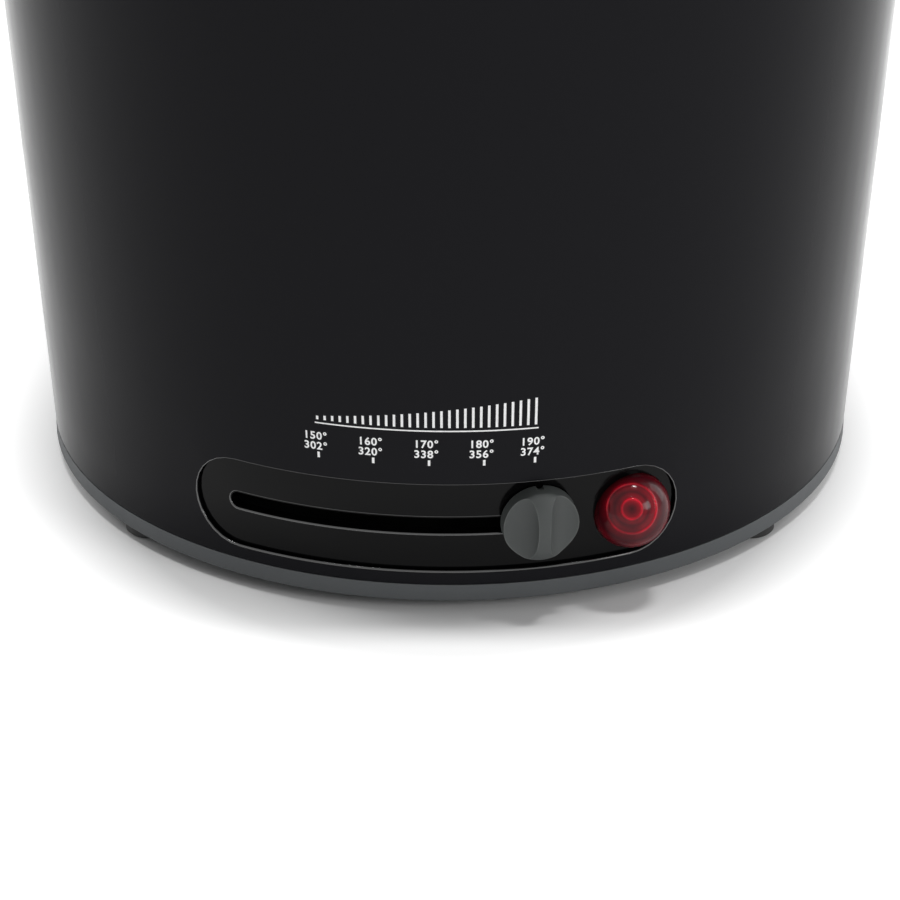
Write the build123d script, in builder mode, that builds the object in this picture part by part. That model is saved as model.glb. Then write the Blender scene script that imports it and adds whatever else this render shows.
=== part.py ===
"""Household deep fryer with a hinged lid, a lifting basket and a thermostat slider.

Millimetres, +Z up, the table at z = 0. The front, with the control panel, faces -Y.
The lid stands open, which is the state in which the basket and its handle can move.
"""
import os
from math import cos, pi, radians, sin, sqrt, tan

from build123d import *

os.makedirs("parts", exist_ok=True)

# Plan and wall of the housing: two round ends joined by a straight run
BASE_R = 130.0
STRAIGHT = 60.0
DRAFT = 3.5
FOOT_H = 4.0
BAND_H = 5.6
BODY_H = 194.4
WALL = 2.6
DECK_T = 3.0
LEDGE_DROP = 4.0
LIP_W = 8.6
RIM_ROUND = 1.6
SEAM_ROUND = 0.7

# Running and seating clearances
SEAT = 0.2
PLAY = 0.3
RUN = 0.05

# Base plate, feet and screws
FLOOR_T = 2.5
BAND_T = 3.0
LIP_T = 2.0
LIP_RISE = 1.4
FOOT_R = 8.0
FOOT_PEG_R = 3.0
FOOT_INSET = 9.5
FOOT_AZ = 51.0
BOSS_R = 4.5
BOSS_INSET = 13.0
BOSS_AZ = 68.0
BOSS_H = 20.0
SCREW_R = 1.75
SCREW_HEAD_R = 3.6
SCREW_HEAD_H = 2.4
VENT_LENGTH = 34.0
VENT_W = 5.0
VENT_PITCH = 11.0
VENT_COUNT = 5

# Control panel, slot, knob and pilot lamp on the front end
PANEL_Z = 29.5
PANEL_H = 30.0
PANEL_LEFT_AZ = -29.1
PANEL_RIGHT_AZ = 24.6
PANEL_RECESS = 1.0
PANEL_FLANGE = 3.0
PANEL_FLANGE_T = 1.6
SLOT_Z = 30.0
SLOT_W = 5.2
SLOT_LEFT_AZ = -29.2
KNOB_AZ = 11.56
STEM_R = 2.3
KNOB_R = 11.5
KNOB_H = 9.4
KNOB_DOME_R = 18.0
KNOB_RAISE = 1.3
KNOB_CROWN = 2.0
SCOOP_R = 7.0
SCOOP_DEPTH = 5.6
RIDGE_W = 3.6
NOTCH_R = 1.1
NOTCH_H = 2.5
LAMP_AZ = 24.6
LAMP_R = 11.8
LAMP_RISE = 9.4
LAMP_DOME_R = 12.4
LAMP_RINGS = (3.4, 8.2)
LAMP_RING_W = 1.1
LAMP_RING_T = 0.6
LAMP_TUBE_R = 10.0
LAMP_TUBE_L = 9.0
LAMP_TUBE_T = 1.2
HOLDER_T = 1.8
HOLDER_SET_BACK = 1.1
HOLDER_FLANGE_R = 14.8
HOLDER_L = 14.0
NEON_R = 3.0
NEON_L = 9.0

# Slider lever, thermostat and its spindle at the centre of the front round end
SPINDLE_R = 3.0
SPINDLE_TIP_R = 2.0
HUB_R = 7.0
HUB_H = 10.0
LEVER_W = 12.0
LEVER_T = 3.0
CARRIAGE_T = 3.0
CARRIAGE_H = 14.0
CARRIAGE_HALF_AZ = 4.5
POST_R = 6.0
THERMOSTAT_R = 16.0
THERMOSTAT_H = 12.0
THERMOSTAT_ROUND = 2.0

# Bowl, heating element and heat shield
MOUTH_INSET = 14.0
BOWL_FLOOR_Z = 66.0
BOWL_T = 2.0
BOWL_DRAFT = 4.5
BOWL_ROUND = 18.0
BOWL_GAP = 1.2
FLANGE_T = 1.6
GASKET_T = 0.8
ELEMENT_R = 4.0
LOOP_INSET = 60.0
ELEMENT_GAP_AZ = 14.0
PIN_R = 2.0
PIN_L = 10.0
SHIELD_DROP = 16.0
SHIELD_T = 1.0
SHIELD_INSET = 32.0
SHIELD_RIM = 8.0
STUD_R = 3.0
SPACER_R = 6.0
NUT_AF = 10.0
NUT_H = 5.0
NUT_INSET = 1.0
FUSE_R = 4.5
FUSE_L = 22.0

# Side hand grips
GRIP_L = 84.0
GRIP_H = 22.0
GRIP_DEPTH = 15.0
GRIP_T = 1.8
GRIP_ROUND = 9.0
GRIP_BELOW_RIM = 26.0

# Cord outlet at the back
OUTLET_W = 46.0
OUTLET_H = 24.0
OUTLET_Z = 27.0
OUTLET_ROUND = 5.0
GLAND_R = 5.5
GLAND_BORE_R = 3.6
GLAND_HEAD_R = 8.0
GLAND_HEAD_T = 4.0
GLAND_TAIL = 5.0
TERMINAL_L = 40.0
TERMINAL_W = 18.0
TERMINAL_H = 16.0

# Hinge
HINGE_RISE = 4.0
HINGE_OUT = 10.5
HINGE_PIN_R = 3.0
KNUCKLE_R = 5.5
KNUCKLE_W = 36.0
EAR_T = 9.0
BRACKET_DROP = 22.0
LID_OPEN = 90.0

# Lid
SEAM = 0.6
LID_H = 46.0
LID_DRAFT = 7.0
LID_CROWN = 22.0
LID_WALL = 2.6
LINER_Z = 10.5
LINER_T = 1.2
LINER_INSET = 4.4
SEAL_W = 5.0
SEAL_H = 6.0
SEAL_GAP = 0.4
WINDOW_L = 150.0
WINDOW_W = 84.0
WINDOW_ROUND = 36.0
WINDOW_FORWARD = 38.0
GLASS_T = 4.0
GLASS_LAP = 4.0
FRAME_T = 2.0
FILTER_L = 108.0
FILTER_W = 54.0
FILTER_ROUND = 14.0
FILTER_BACK = 42.0
FILTER_T = 10.0
PACK_ROUND = 2.0
DUCT_T = 2.0
DUCT_LEDGE = 5.0
COVER_T = 2.4
COVER_LAP = 4.0
SPIGOT_H = 4.0
SPIGOT_T = 1.8
COVER_SLOTS = 9
COVER_SLOT_W = 4.0
COVER_SLOT_PITCH = 10.6
LINER_VENT_R = 3.0
LINER_VENT_PITCH = 13.0
LINER_VENTS = (6, 3)
LID_BOSS_R = 4.5
LID_BOSS_INSET = 30.0

# Lid latch
LATCH_W = 40.0
LATCH_H = 16.0
LATCH_ABOVE_SEAM = 4.4
LATCH_PAD_T = 4.0
LATCH_PIVOT_RISE = 7.4
LATCH_PIN_R = 1.5
LATCH_BARREL_R = 3.4
LATCH_LUG_T = 3.0
LUG_GAP = 1.5
HOOK_W = 16.0
HOOK_T = 1.8
HOOK_BITE = 1.8
HOOK_TIP_H = 4.0
HOOK_SLOT_W = 5.2
LATCH_SWING_GAP = 1.5

# Basket
BASKET_INSET = 32.0
BASKET_DRAFT = 2.9
BASKET_T = 1.6
BASKET_BELOW_RIM = 16.0
BASKET_FOOT_H = 6.0
BASKET_FOOT_R = 4.0
BASKET_ROUND = 5.0
BASKET_CUT_R = 14.0
BAR_W = 3.0
SIDE_SLOT_W = 9.0
SLOT_ROWS = 3
PANELS_PER_END = 6
PANEL_JOINT = 0.1
FLOOR_SLOTS = 11
FLOOR_ROWS = 3
FLOOR_SLOT_L = 50.0
RIM_WIRE_R = 2.5

# Basket handle
PIVOT_DROP = 1.0
PIVOT_OUT = 2.0
HANDLE_PIN_R = 2.5
HANDLE_L = 148.0
FOLD_DROP = 14.0
ARM_W = 24.0
ARM_T = 5.0
ARM_L = 70.0
ARM_BARREL_R = 5.5
EAR_PLATE_T = 1.6
EAR_R = 6.0
EAR_DEPTH = 9.0
EAR_X = 14.3
BRACKET_T = 1.5
BRACKET_H = 24.0
BRACKET_AZ = 11.0
RIVET_AZ = 5.0
GRIP_START = 44.0
GRIP_W = 32.0
GRIP_THICK = 20.0
GRIP_END_R = 12.0
GRIP_EDGE_R = 6.0
RIVET_R = 2.0
RIVET_HEAD_R = 3.4
RIVET_HEAD_T = 1.2
BUTTON_L = 18.0
BUTTON_W = 11.0
BUTTON_RISE = 3.0
BUTTON_AT = 62.0
BUTTON_TRAVEL = 2.5

# Places that follow from the sizes above
MOUTH_R = BASE_R - MOUTH_INSET
ELEMENT_LOOP_R = BASE_R - LOOP_INSET
SHIELD_R = BASE_R - SHIELD_INSET
LINER_R = BASE_R - LINER_INSET
BASKET_TOP_R = BASE_R - BASKET_INSET
LID_BOSS_X = BASE_R - LID_BOSS_INSET
WALL_Z = FOOT_H + BAND_H
RIM_Z = WALL_Z + BODY_H
LEDGE_Z = RIM_Z - LEDGE_DROP
SLOPE = tan(radians(DRAFT))
LID_R = BASE_R + SLOPE * BODY_H
LID_Z = RIM_Z + SEAM
LID_TOP_Z = LID_Z + LID_H
HINGE_Z = RIM_Z + HINGE_RISE
FRONT_Y = -(STRAIGHT + HINGE_OUT + LID_TOP_Z + COVER_T - HINGE_Z) / 2
REAR_Y = FRONT_Y + STRAIGHT
PLAN_Y = FRONT_Y + STRAIGHT / 2
HINGE_Y = REAR_Y + LID_R + HINGE_OUT
FRONT_AXIS = Axis((0, FRONT_Y, 0), (0, 0, 1))
LID_AXIS = Axis((0, HINGE_Y, HINGE_Z), (-1, 0, 0))
PANEL_BACK = WALL + PANEL_FLANGE_T
BASKET_TOP_Z = RIM_Z - BASKET_BELOW_RIM
BASKET_FLOOR_Z = BOWL_FLOOR_Z + BOWL_T + PLAY + BASKET_FOOT_H
PIVOT_Z = RIM_Z - PIVOT_DROP
PIVOT_Y = FRONT_Y - BASKET_TOP_R - PIVOT_OUT
HANDLE_AXIS = Axis((0, PIVOT_Y, PIVOT_Z), (-1, 0, 0))
SHIELD_Z = BOWL_FLOOR_Z - SHIELD_DROP


def wall_r(z):
    """Radius of the housing's outer wall at a height."""
    return BASE_R + SLOPE * (z - WALL_Z)


def basket_r(z):
    """Outer radius of the basket's wall at a height."""
    return BASKET_TOP_R - tan(radians(BASKET_DRAFT)) * (BASKET_TOP_Z - z)


def radial_plane(azimuth, centre_y=FRONT_Y):
    """Upright plane through a round end's axis: local X is the radius, local Y the height."""
    a = radians(azimuth)
    return Plane(origin=(0, centre_y, 0), x_dir=(sin(a), -cos(a), 0), z_dir=(-cos(a), -sin(a), 0))


def facing_plane(azimuth, z, radius, lean=0.0, centre_y=FRONT_Y):
    """Plane that faces outwards at an azimuth, leaning down by an angle."""
    a = radians(azimuth)
    t = radians(lean)
    origin = (radius * sin(a), centre_y - radius * cos(a), z)
    normal = (sin(a) * cos(t), -cos(a) * cos(t), -sin(t))
    return Plane(origin=origin, x_dir=(cos(a), sin(a), 0), z_dir=normal)


def on_arc(radius, azimuth, centre_y=FRONT_Y):
    """Point in plan at a radius and an azimuth about a round end's centre."""
    a = radians(azimuth)
    return (radius * sin(a), centre_y - radius * cos(a))


def four_corners(azimuth):
    """Azimuth and centre of the four corners of the plan: two about each round end."""
    front = [(-azimuth, FRONT_Y), (azimuth, FRONT_Y)]
    rear = [(180 + azimuth, REAR_Y), (180 - azimuth, REAR_Y)]
    return front + rear


def four_places(radius, azimuth):
    """Points in plan at a radius in the four corners."""
    return [on_arc(radius, corner, centre_y) for corner, centre_y in four_corners(azimuth)]


def spoke_plane(azimuth, z, centre_y=FRONT_Y):
    """Level plane whose local X points out from a round end's centre."""
    a = radians(azimuth)
    return Plane(origin=(0, centre_y, z), x_dir=(sin(a), -cos(a), 0), z_dir=(0, 0, 1))


def spoke(azimuth, z, height, reach, width, centre_y=FRONT_Y, mode=Mode.ADD):
    """Level bar that points out from a round end's centre."""
    near, far = reach
    with BuildSketch(spoke_plane(azimuth, z, centre_y)) as footprint:
        with Locations(((near + far) / 2, 0)):
            Rectangle(far - near, width)
    extrude(footprint.sketch, amount=height, mode=mode)


def plan_outline(radius):
    """Outline of the plan at a radius, drawn in the sketch that is open."""
    with Locations((0, PLAN_Y)):
        SlotCenterToCenter(STRAIGHT, 2 * radius, rotation=90)


def plan_prism(z, height, radius, taper=0.0, mode=Mode.ADD):
    """Upright prism of the plan's outline, added to or cut from the part that is open."""
    with BuildSketch(Plane.XY.offset(z)) as outline:
        plan_outline(radius)
    extrude(outline.sketch, amount=height, taper=taper, mode=mode)


def plan_ring(z, height, outer, inner, mode=Mode.ADD):
    """Upright ring between two outlines of the plan."""
    with BuildSketch(Plane.XY.offset(z)) as outline:
        plan_outline(outer)
        with Locations((0, PLAN_Y)):
            SlotCenterToCenter(STRAIGHT, 2 * inner, rotation=90, mode=Mode.SUBTRACT)
    extrude(outline.sketch, amount=height, mode=mode)


def wall_sector(radius_at, depths, heights, azimuths, mode, centre_y=FRONT_Y):
    """Sector of a leaning round wall between two depths below its outer face."""
    low, high = heights
    near, far = depths
    corners = [
        (radius_at(low) - far, low),
        (radius_at(low) - near, low),
        (radius_at(high) - near, high),
        (radius_at(high) - far, high),
    ]
    with BuildSketch(radial_plane(azimuths[0], centre_y)) as profile:
        Polygon(*corners, align=None)
    axis = Axis((0, centre_y, 0), (0, 0, 1))
    revolve(profile.sketch, axis=axis, revolution_arc=azimuths[1] - azimuths[0], mode=mode)


def oblong_band(z, height, azimuths, reach, mode=Mode.ADD):
    """Round-ended band that lies along the front wall, cut square to it."""
    near, far = reach
    with BuildSketch(radial_plane(azimuths[0])) as profile:
        with Locations(((near + far) / 2, z)):
            Rectangle(far - near, height)
    revolve(profile.sketch, axis=FRONT_AXIS, revolution_arc=azimuths[1] - azimuths[0], mode=mode)
    for azimuth in azimuths:
        with BuildSketch(facing_plane(azimuth, z, near)) as end:
            Circle(height / 2)
        extrude(end.sketch, amount=far - near, mode=mode)


def round_post(z, height, radius, place, mode=Mode.ADD):
    """Upright cylinder on a point in plan."""
    with BuildSketch(Plane.XY.offset(z)) as disc:
        with Locations(place):
            Circle(radius)
    extrude(disc.sketch, amount=height, mode=mode)


def cross_pin(radius, length, y, z, mode=Mode.ADD):
    """Cylinder along X, centred on the middle plane."""
    with BuildSketch(Plane.YZ.offset(-length / 2)) as disc:
        with Locations((y, z)):
            Circle(radius)
    extrude(disc.sketch, amount=length, mode=mode)


def front_rim(builder, axis):
    """Foremost whole circle of a round piece along its axis."""
    circles = builder.edges().filter_by(GeomType.CIRCLE)
    return circles.filter_by(lambda edge: edge.is_closed).sort_by(axis)[-1]


def block(x, y, z, mode=Mode.ADD):
    """Rectangular block between two limits along each axis."""
    with BuildSketch(Plane.XY.offset(z[0])) as footprint:
        with Locations(((x[0] + x[1]) / 2, (y[0] + y[1]) / 2)):
            Rectangle(x[1] - x[0], y[1] - y[0])
    extrude(footprint.sketch, amount=z[1] - z[0], mode=mode)


def rounded_prism(z, height, length, width, radius, y, mode=Mode.ADD):
    """Upright prism with a rounded rectangular outline, centred on the middle plane."""
    with BuildSketch(Plane.XY.offset(z)) as outline:
        with Locations((0, y)):
            RectangleRounded(length, width, radius)
    extrude(outline.sketch, amount=height, mode=mode)


def save(piece, name):
    """Label a finished piece and write it to its own file."""
    piece.label = name
    export_step(piece, f"parts/{name}.step")


def save_on_lid(piece, name):
    """Write a piece of the lid, swung from its closed place to the open one."""
    save(piece.rotate(LID_AXIS, LID_OPEN), name)


def save_on_handle(piece, name):
    """Write a piece of the handle, folded from straight out to its place in the basket."""
    save(piece.rotate(HANDLE_AXIS, 180 + FOLD_DROP), name)


# Base plate: band that shows below the housing, floor, locating lip, bosses and vents
feet_places = four_places(BASE_R - FOOT_INSET, FOOT_AZ)
boss_places = four_places(BASE_R - BOSS_INSET, BOSS_AZ)
pivot_place = (0, FRONT_Y)
stud_place = (0, PLAN_Y)
LEVER_Z = SLOT_Z - LEVER_T / 2
HUB_Z = SLOT_Z - HUB_H / 2
STUD_BOSS_TOP = WALL_Z + NUT_H
NUT_Z = FOOT_H + NUT_INSET
FLOOR_Z = FOOT_H + FLOOR_T
LIP_R = BASE_R - WALL - PLAY
with BuildPart() as base_plate:
    plan_prism(FOOT_H, BAND_H, BASE_R)
    plan_prism(FLOOR_Z, BAND_H, BASE_R - BAND_T, mode=Mode.SUBTRACT)
    plan_ring(FLOOR_Z, WALL_Z + LIP_RISE - FLOOR_Z, LIP_R, LIP_R - LIP_T)
    for place in boss_places:
        round_post(FOOT_H, BAND_H + LIP_RISE, BOSS_R + LIP_T, place)
    round_post(FOOT_H, HUB_Z - RUN - FOOT_H, POST_R, pivot_place)
    round_post(FOOT_H, STUD_BOSS_TOP - FOOT_H, NUT_AF, stud_place)
    for place in boss_places:
        round_post(FOOT_H, BAND_H - FLOOR_T, SCREW_HEAD_R + PLAY, place, Mode.SUBTRACT)
        round_post(FOOT_H, BODY_H, SCREW_R + SEAT, place, Mode.SUBTRACT)
    for place in feet_places:
        round_post(FOOT_H, BAND_H, FOOT_PEG_R + RUN, place, Mode.SUBTRACT)
    round_post(FLOOR_Z, BODY_H, SPINDLE_TIP_R + RUN, pivot_place, Mode.SUBTRACT)
    round_post(FOOT_H, NUT_Z + NUT_H - FOOT_H, NUT_AF / sqrt(3) + PLAY, stud_place, Mode.SUBTRACT)
    round_post(FOOT_H, BODY_H, STUD_R + SEAT, stud_place, Mode.SUBTRACT)
    with BuildSketch(Plane.XY.offset(FOOT_H)):
        with Locations((-BASE_R / 2, PLAN_Y), (BASE_R / 2, PLAN_Y)):
            with GridLocations(VENT_PITCH, 0, VENT_COUNT, 1):
                SlotOverall(VENT_LENGTH, VENT_W, rotation=90)
    extrude(amount=FLOOR_T, mode=Mode.SUBTRACT)
    fillet(base_plate.faces().sort_by(Axis.Z)[0].outer_wire().edges(), SEAM_ROUND)
save(base_plate.part, "base_plate")

with BuildPart() as feet:
    for place in feet_places:
        round_post(0, FOOT_H, FOOT_R, place)
        round_post(FOOT_H, FLOOR_T, FOOT_PEG_R, place)
    chamfer(feet.faces().filter_by(Axis.Z).group_by(Axis.Z)[0].edges(), SEAM_ROUND)
save(feet.part, "feet")

SCREW_Z = FOOT_H + BAND_H - FLOOR_T - SCREW_HEAD_H
with BuildPart() as base_screws:
    for place in boss_places:
        round_post(SCREW_Z, SCREW_HEAD_H, SCREW_HEAD_R, place)
        round_post(SCREW_Z, BOSS_H, SCREW_R, place)
save(base_screws.part, "base_screws")

# Housing: leaning wall, deck with the bowl's ledge, openings and screw bosses
panel_azimuths = (PANEL_LEFT_AZ, PANEL_RIGHT_AZ)
wall_reach = (BASE_R - BOSS_INSET, BASE_R + BOSS_INSET)
GRIP_Z = RIM_Z - GRIP_BELOW_RIM
BOSS_Z = WALL_Z + LIP_RISE + SEAT
LATCH_SLOT_OUT = wall_r(LEDGE_Z) - WALL - PLAY
LATCH_SLOT_IN = LATCH_SLOT_OUT - HOOK_SLOT_W
HINGE_SCREW_Z = RIM_Z - BRACKET_DROP / 2
HINGE_SCREW_X = KNUCKLE_W / 2
HINGE_SCREW_Y = REAR_Y + sqrt(wall_r(HINGE_SCREW_Z) ** 2 - HINGE_SCREW_X ** 2)
with BuildPart() as housing:
    plan_prism(WALL_Z, BODY_H, BASE_R, -DRAFT)
    top_edges = housing.faces().sort_by(Axis.Z)[-1].edges()
    bottom_edges = housing.faces().sort_by(Axis.Z)[0].edges()
    fillet(top_edges, RIM_ROUND)
    fillet(bottom_edges, SEAM_ROUND)
    plan_prism(WALL_Z, BODY_H - LEDGE_DROP - DECK_T, BASE_R - WALL, -DRAFT, Mode.SUBTRACT)
    plan_prism(WALL_Z, BODY_H, MOUTH_R, mode=Mode.SUBTRACT)
    plan_prism(LEDGE_Z, LEDGE_DROP, LID_R - LIP_W, mode=Mode.SUBTRACT)
    for azimuth, centre_y in four_corners(BOSS_AZ):
        spoke(azimuth, BOSS_Z, BOSS_H, (BASE_R - BOSS_INSET, BASE_R - WALL / 2), LIP_T, centre_y)
    for place in boss_places:
        round_post(BOSS_Z, BOSS_H, BOSS_R, place)
    for place in boss_places:
        round_post(WALL_Z, BOSS_H, SCREW_R + RUN, place, Mode.SUBTRACT)
    oblong_band(PANEL_Z, PANEL_H + 2 * SEAT, panel_azimuths, wall_reach, Mode.SUBTRACT)
    with BuildSketch(Plane.YZ.offset(-2 * BASE_R)):
        with Locations((PLAN_Y, GRIP_Z)):
            RectangleRounded(GRIP_L, GRIP_H, GRIP_ROUND)
    extrude(amount=4 * BASE_R, mode=Mode.SUBTRACT)
    with BuildSketch(Plane.XZ.offset(-REAR_Y)):
        with Locations((0, OUTLET_Z)):
            RectangleRounded(OUTLET_W, OUTLET_H, OUTLET_ROUND)
    extrude(amount=-2 * BASE_R, mode=Mode.SUBTRACT)
    block((-HOOK_W / 2 - PLAY, HOOK_W / 2 + PLAY), (FRONT_Y - LATCH_SLOT_OUT, FRONT_Y - LATCH_SLOT_IN),
          (LEDGE_Z - DECK_T, RIM_Z), Mode.SUBTRACT)
    for side in (-1, 1):
        with BuildSketch(Plane.XZ.offset(-REAR_Y)):
            with Locations((side * HINGE_SCREW_X, HINGE_SCREW_Z)):
                Circle(SCREW_R + SEAT)
        extrude(amount=-2 * BASE_R, mode=Mode.SUBTRACT)
save(housing.part, "housing")

# Control panel: inlay with a rear flange, the slider's slot and the lamp's hole
slot_azimuths = (SLOT_LEFT_AZ, KNOB_AZ)
panel_heights = (PANEL_Z - PANEL_H, PANEL_Z + PANEL_H)
panel_sweep = (PANEL_LEFT_AZ - PANEL_H, PANEL_RIGHT_AZ + PANEL_H)
with BuildPart() as panel_face:
    oblong_band(PANEL_Z, PANEL_H, panel_azimuths, wall_reach)
    wall_sector(wall_r, (PANEL_RECESS, PANEL_BACK), panel_heights, panel_sweep, Mode.INTERSECT)
with BuildPart() as control_panel:
    oblong_band(PANEL_Z, PANEL_H + 2 * PANEL_FLANGE, panel_azimuths, wall_reach)
    wall_sector(wall_r, (WALL, PANEL_BACK), panel_heights, panel_sweep, Mode.INTERSECT)
    add(panel_face.part)
    oblong_band(SLOT_Z, SLOT_W, slot_azimuths, wall_reach, Mode.SUBTRACT)
    with BuildSketch(facing_plane(LAMP_AZ, PANEL_Z, wall_reach[0])):
        Circle(LAMP_R + SEAT)
    extrude(amount=wall_reach[1] - wall_reach[0], mode=Mode.SUBTRACT)
save(control_panel.part, "control_panel")

# Pilot lamp: domed red lens with turned grooves and a rear tube, holder and neon lamp
LAMP_FACE_R = wall_r(PANEL_Z) - PANEL_RECESS
LAMP_BACK_R = wall_r(PANEL_Z) - PANEL_BACK
lamp_front = facing_plane(LAMP_AZ, PANEL_Z, LAMP_FACE_R, DRAFT)
LENS_T = LAMP_RISE + PANEL_BACK - PANEL_RECESS
with BuildPart() as lamp_lens:
    with BuildSketch(lamp_front.offset(LAMP_RISE)):
        Circle(LAMP_R)
    extrude(amount=-LENS_T)
    with Locations(lamp_front.offset(LAMP_RISE - LAMP_DOME_R)):
        Sphere(LAMP_DOME_R, mode=Mode.INTERSECT)
    for ring_r in LAMP_RINGS:
        dome_fall = LAMP_DOME_R - sqrt(LAMP_DOME_R ** 2 - ring_r ** 2)
        with BuildSketch(lamp_front.offset(LAMP_RISE)):
            Circle(ring_r)
            Circle(ring_r - LAMP_RING_W, mode=Mode.SUBTRACT)
        extrude(amount=-LAMP_RING_T - dome_fall, mode=Mode.SUBTRACT)
    with BuildSketch(lamp_front.offset(LAMP_RISE - LENS_T)):
        Circle(LAMP_TUBE_R)
    extrude(amount=-LAMP_TUBE_L)
    with BuildSketch(lamp_front):
        Circle(LAMP_TUBE_R - LAMP_TUBE_T)
    extrude(amount=-LENS_T - LAMP_TUBE_L, mode=Mode.SUBTRACT)
save(lamp_lens.part, "lamp_lens")

with BuildPart() as lamp_holder:
    holder_front = lamp_front.offset(LAMP_RISE - LENS_T - HOLDER_SET_BACK)
    with BuildSketch(holder_front):
        Circle(HOLDER_FLANGE_R)
    extrude(amount=-HOLDER_T)
    with BuildSketch(holder_front):
        Circle(LAMP_TUBE_R + HOLDER_T)
    extrude(amount=-HOLDER_L)
    with BuildSketch(holder_front):
        Circle(LAMP_TUBE_R + RUN)
    extrude(amount=HOLDER_T - HOLDER_L, mode=Mode.SUBTRACT)
save(lamp_holder.part, "lamp_holder")

with BuildPart() as neon_lamp:
    with BuildSketch(holder_front.offset(HOLDER_T - HOLDER_L)):
        Circle(NEON_R)
    extrude(amount=NEON_L)
    fillet(neon_lamp.faces().sort_by(Axis(lamp_front.origin, lamp_front.z_dir))[-1].edges(), NEON_R / 2)
save(neon_lamp.part, "neon_lamp")

# Thermostat slider: knob on a stem, carriage behind the panel, lever and spindle
SHOE_NEAR = PANEL_BACK + PLAY
SHOE_FAR = SHOE_NEAR + CARRIAGE_T
SHOE_R = wall_r(SLOT_Z) - SHOE_FAR
KNOB_BACK_R = wall_r(SLOT_Z) - PANEL_RECESS + 2 * PLAY
KNOB_SEAT = KNOB_H / 3
SCOOP_Z = KNOB_H - SCOOP_DEPTH + SCOOP_R
SCOOP_X = RIDGE_W / 2 + sqrt(SCOOP_R ** 2 - (SCOOP_Z - KNOB_H) ** 2)
knob_back = facing_plane(KNOB_AZ, SLOT_Z + KNOB_RAISE, KNOB_BACK_R, DRAFT)
knob_axis = Axis(knob_back.origin, knob_back.z_dir)
with BuildPart() as slider_knob:
    with BuildSketch(knob_back):
        Circle(KNOB_R)
    extrude(amount=KNOB_H)
    with Locations(knob_back.offset(KNOB_H - KNOB_DOME_R)):
        Sphere(KNOB_DOME_R, mode=Mode.INTERSECT)
    fillet(front_rim(slider_knob, knob_axis), KNOB_CROWN)
    with Locations(knob_back.offset(SCOOP_Z)):
        with Locations((-SCOOP_X, 0), (SCOOP_X, 0)):
            Cylinder(SCOOP_R, 4 * KNOB_R, rotation=(90, 0, 0), mode=Mode.SUBTRACT)
    with BuildSketch(knob_back):
        with Locations((0, KNOB_R)):
            Circle(NOTCH_R)
    extrude(amount=NOTCH_H, mode=Mode.SUBTRACT)
    with BuildSketch(facing_plane(KNOB_AZ, SLOT_Z, SHOE_R)):
        Circle(STEM_R + RUN)
    extrude(amount=KNOB_BACK_R + KNOB_SEAT - SHOE_R, mode=Mode.SUBTRACT)
save(slider_knob.part, "slider_knob")

with BuildPart() as slider_carriage:
    shoe_heights = (SLOT_Z - CARRIAGE_H / 2, SLOT_Z + CARRIAGE_H / 2)
    shoe_azimuths = (KNOB_AZ - CARRIAGE_HALF_AZ, KNOB_AZ + CARRIAGE_HALF_AZ)
    wall_sector(wall_r, (SHOE_NEAR, SHOE_FAR), shoe_heights, shoe_azimuths, Mode.ADD)
    spoke(KNOB_AZ, LEVER_Z + LEVER_T, LEVER_T, (SHOE_R - LEVER_W, SHOE_R + CARRIAGE_T / 2), LEVER_W)
    with BuildSketch(facing_plane(KNOB_AZ, SLOT_Z, SHOE_R + CARRIAGE_T / 2)):
        Circle(STEM_R)
    extrude(amount=KNOB_BACK_R + KNOB_SEAT - SHOE_R - CARRIAGE_T / 2)
save(slider_carriage.part, "slider_carriage")

with BuildPart() as thermostat_lever:
    spoke(KNOB_AZ, LEVER_Z, LEVER_T, (0, SHOE_R - 2 * PLAY), LEVER_W)
    round_post(HUB_Z, HUB_H, HUB_R, pivot_place)
    round_post(HUB_Z, HUB_H, SPINDLE_R + RUN, pivot_place, Mode.SUBTRACT)
save(thermostat_lever.part, "thermostat_lever")

THERMOSTAT_Z = SHIELD_Z - THERMOSTAT_H
SPINDLE_TOP = THERMOSTAT_Z + THERMOSTAT_H / 2
with BuildPart() as thermostat_spindle:
    round_post(HUB_Z - HUB_H / 2, HUB_H, SPINDLE_TIP_R, pivot_place)
    round_post(HUB_Z, SPINDLE_TOP - HUB_Z, SPINDLE_R, pivot_place)
save(thermostat_spindle.part, "thermostat_spindle")

with BuildPart() as thermostat_body:
    round_post(THERMOSTAT_Z, THERMOSTAT_H, THERMOSTAT_R, pivot_place)
    fillet(thermostat_body.faces().sort_by(Axis.Z)[0].edges(), THERMOSTAT_ROUND)
    round_post(THERMOSTAT_Z, THERMOSTAT_H / 2 + RUN, SPINDLE_R + RUN, pivot_place, Mode.SUBTRACT)
save(thermostat_body.part, "thermostat_body")

# Bowl with its flange and gasket
BOWL_TOP_Z = LEDGE_Z + GASKET_T + FLANGE_T
BOWL_H = BOWL_TOP_Z - BOWL_FLOOR_Z
BOWL_SLOPE = tan(radians(BOWL_DRAFT))
BOWL_FOOT_R = MOUTH_R - BOWL_GAP - BOWL_SLOPE * BOWL_H
FLANGE_R = LID_R - LIP_W - PLAY
with BuildPart() as bowl_hollow:
    plan_prism(BOWL_FLOOR_Z + BOWL_T, BOWL_H, BOWL_FOOT_R - BOWL_T * (1 - BOWL_SLOPE), -BOWL_DRAFT)
    fillet(bowl_hollow.faces().sort_by(Axis.Z)[0].edges(), BOWL_ROUND - BOWL_T)
with BuildPart() as bowl:
    plan_prism(BOWL_FLOOR_Z, BOWL_H, BOWL_FOOT_R, -BOWL_DRAFT)
    fillet(bowl.faces().sort_by(Axis.Z)[0].edges(), BOWL_ROUND)
    plan_prism(BOWL_TOP_Z - FLANGE_T, FLANGE_T, FLANGE_R)
    add(bowl_hollow.part, mode=Mode.SUBTRACT)
save(bowl.part, "bowl")

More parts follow.
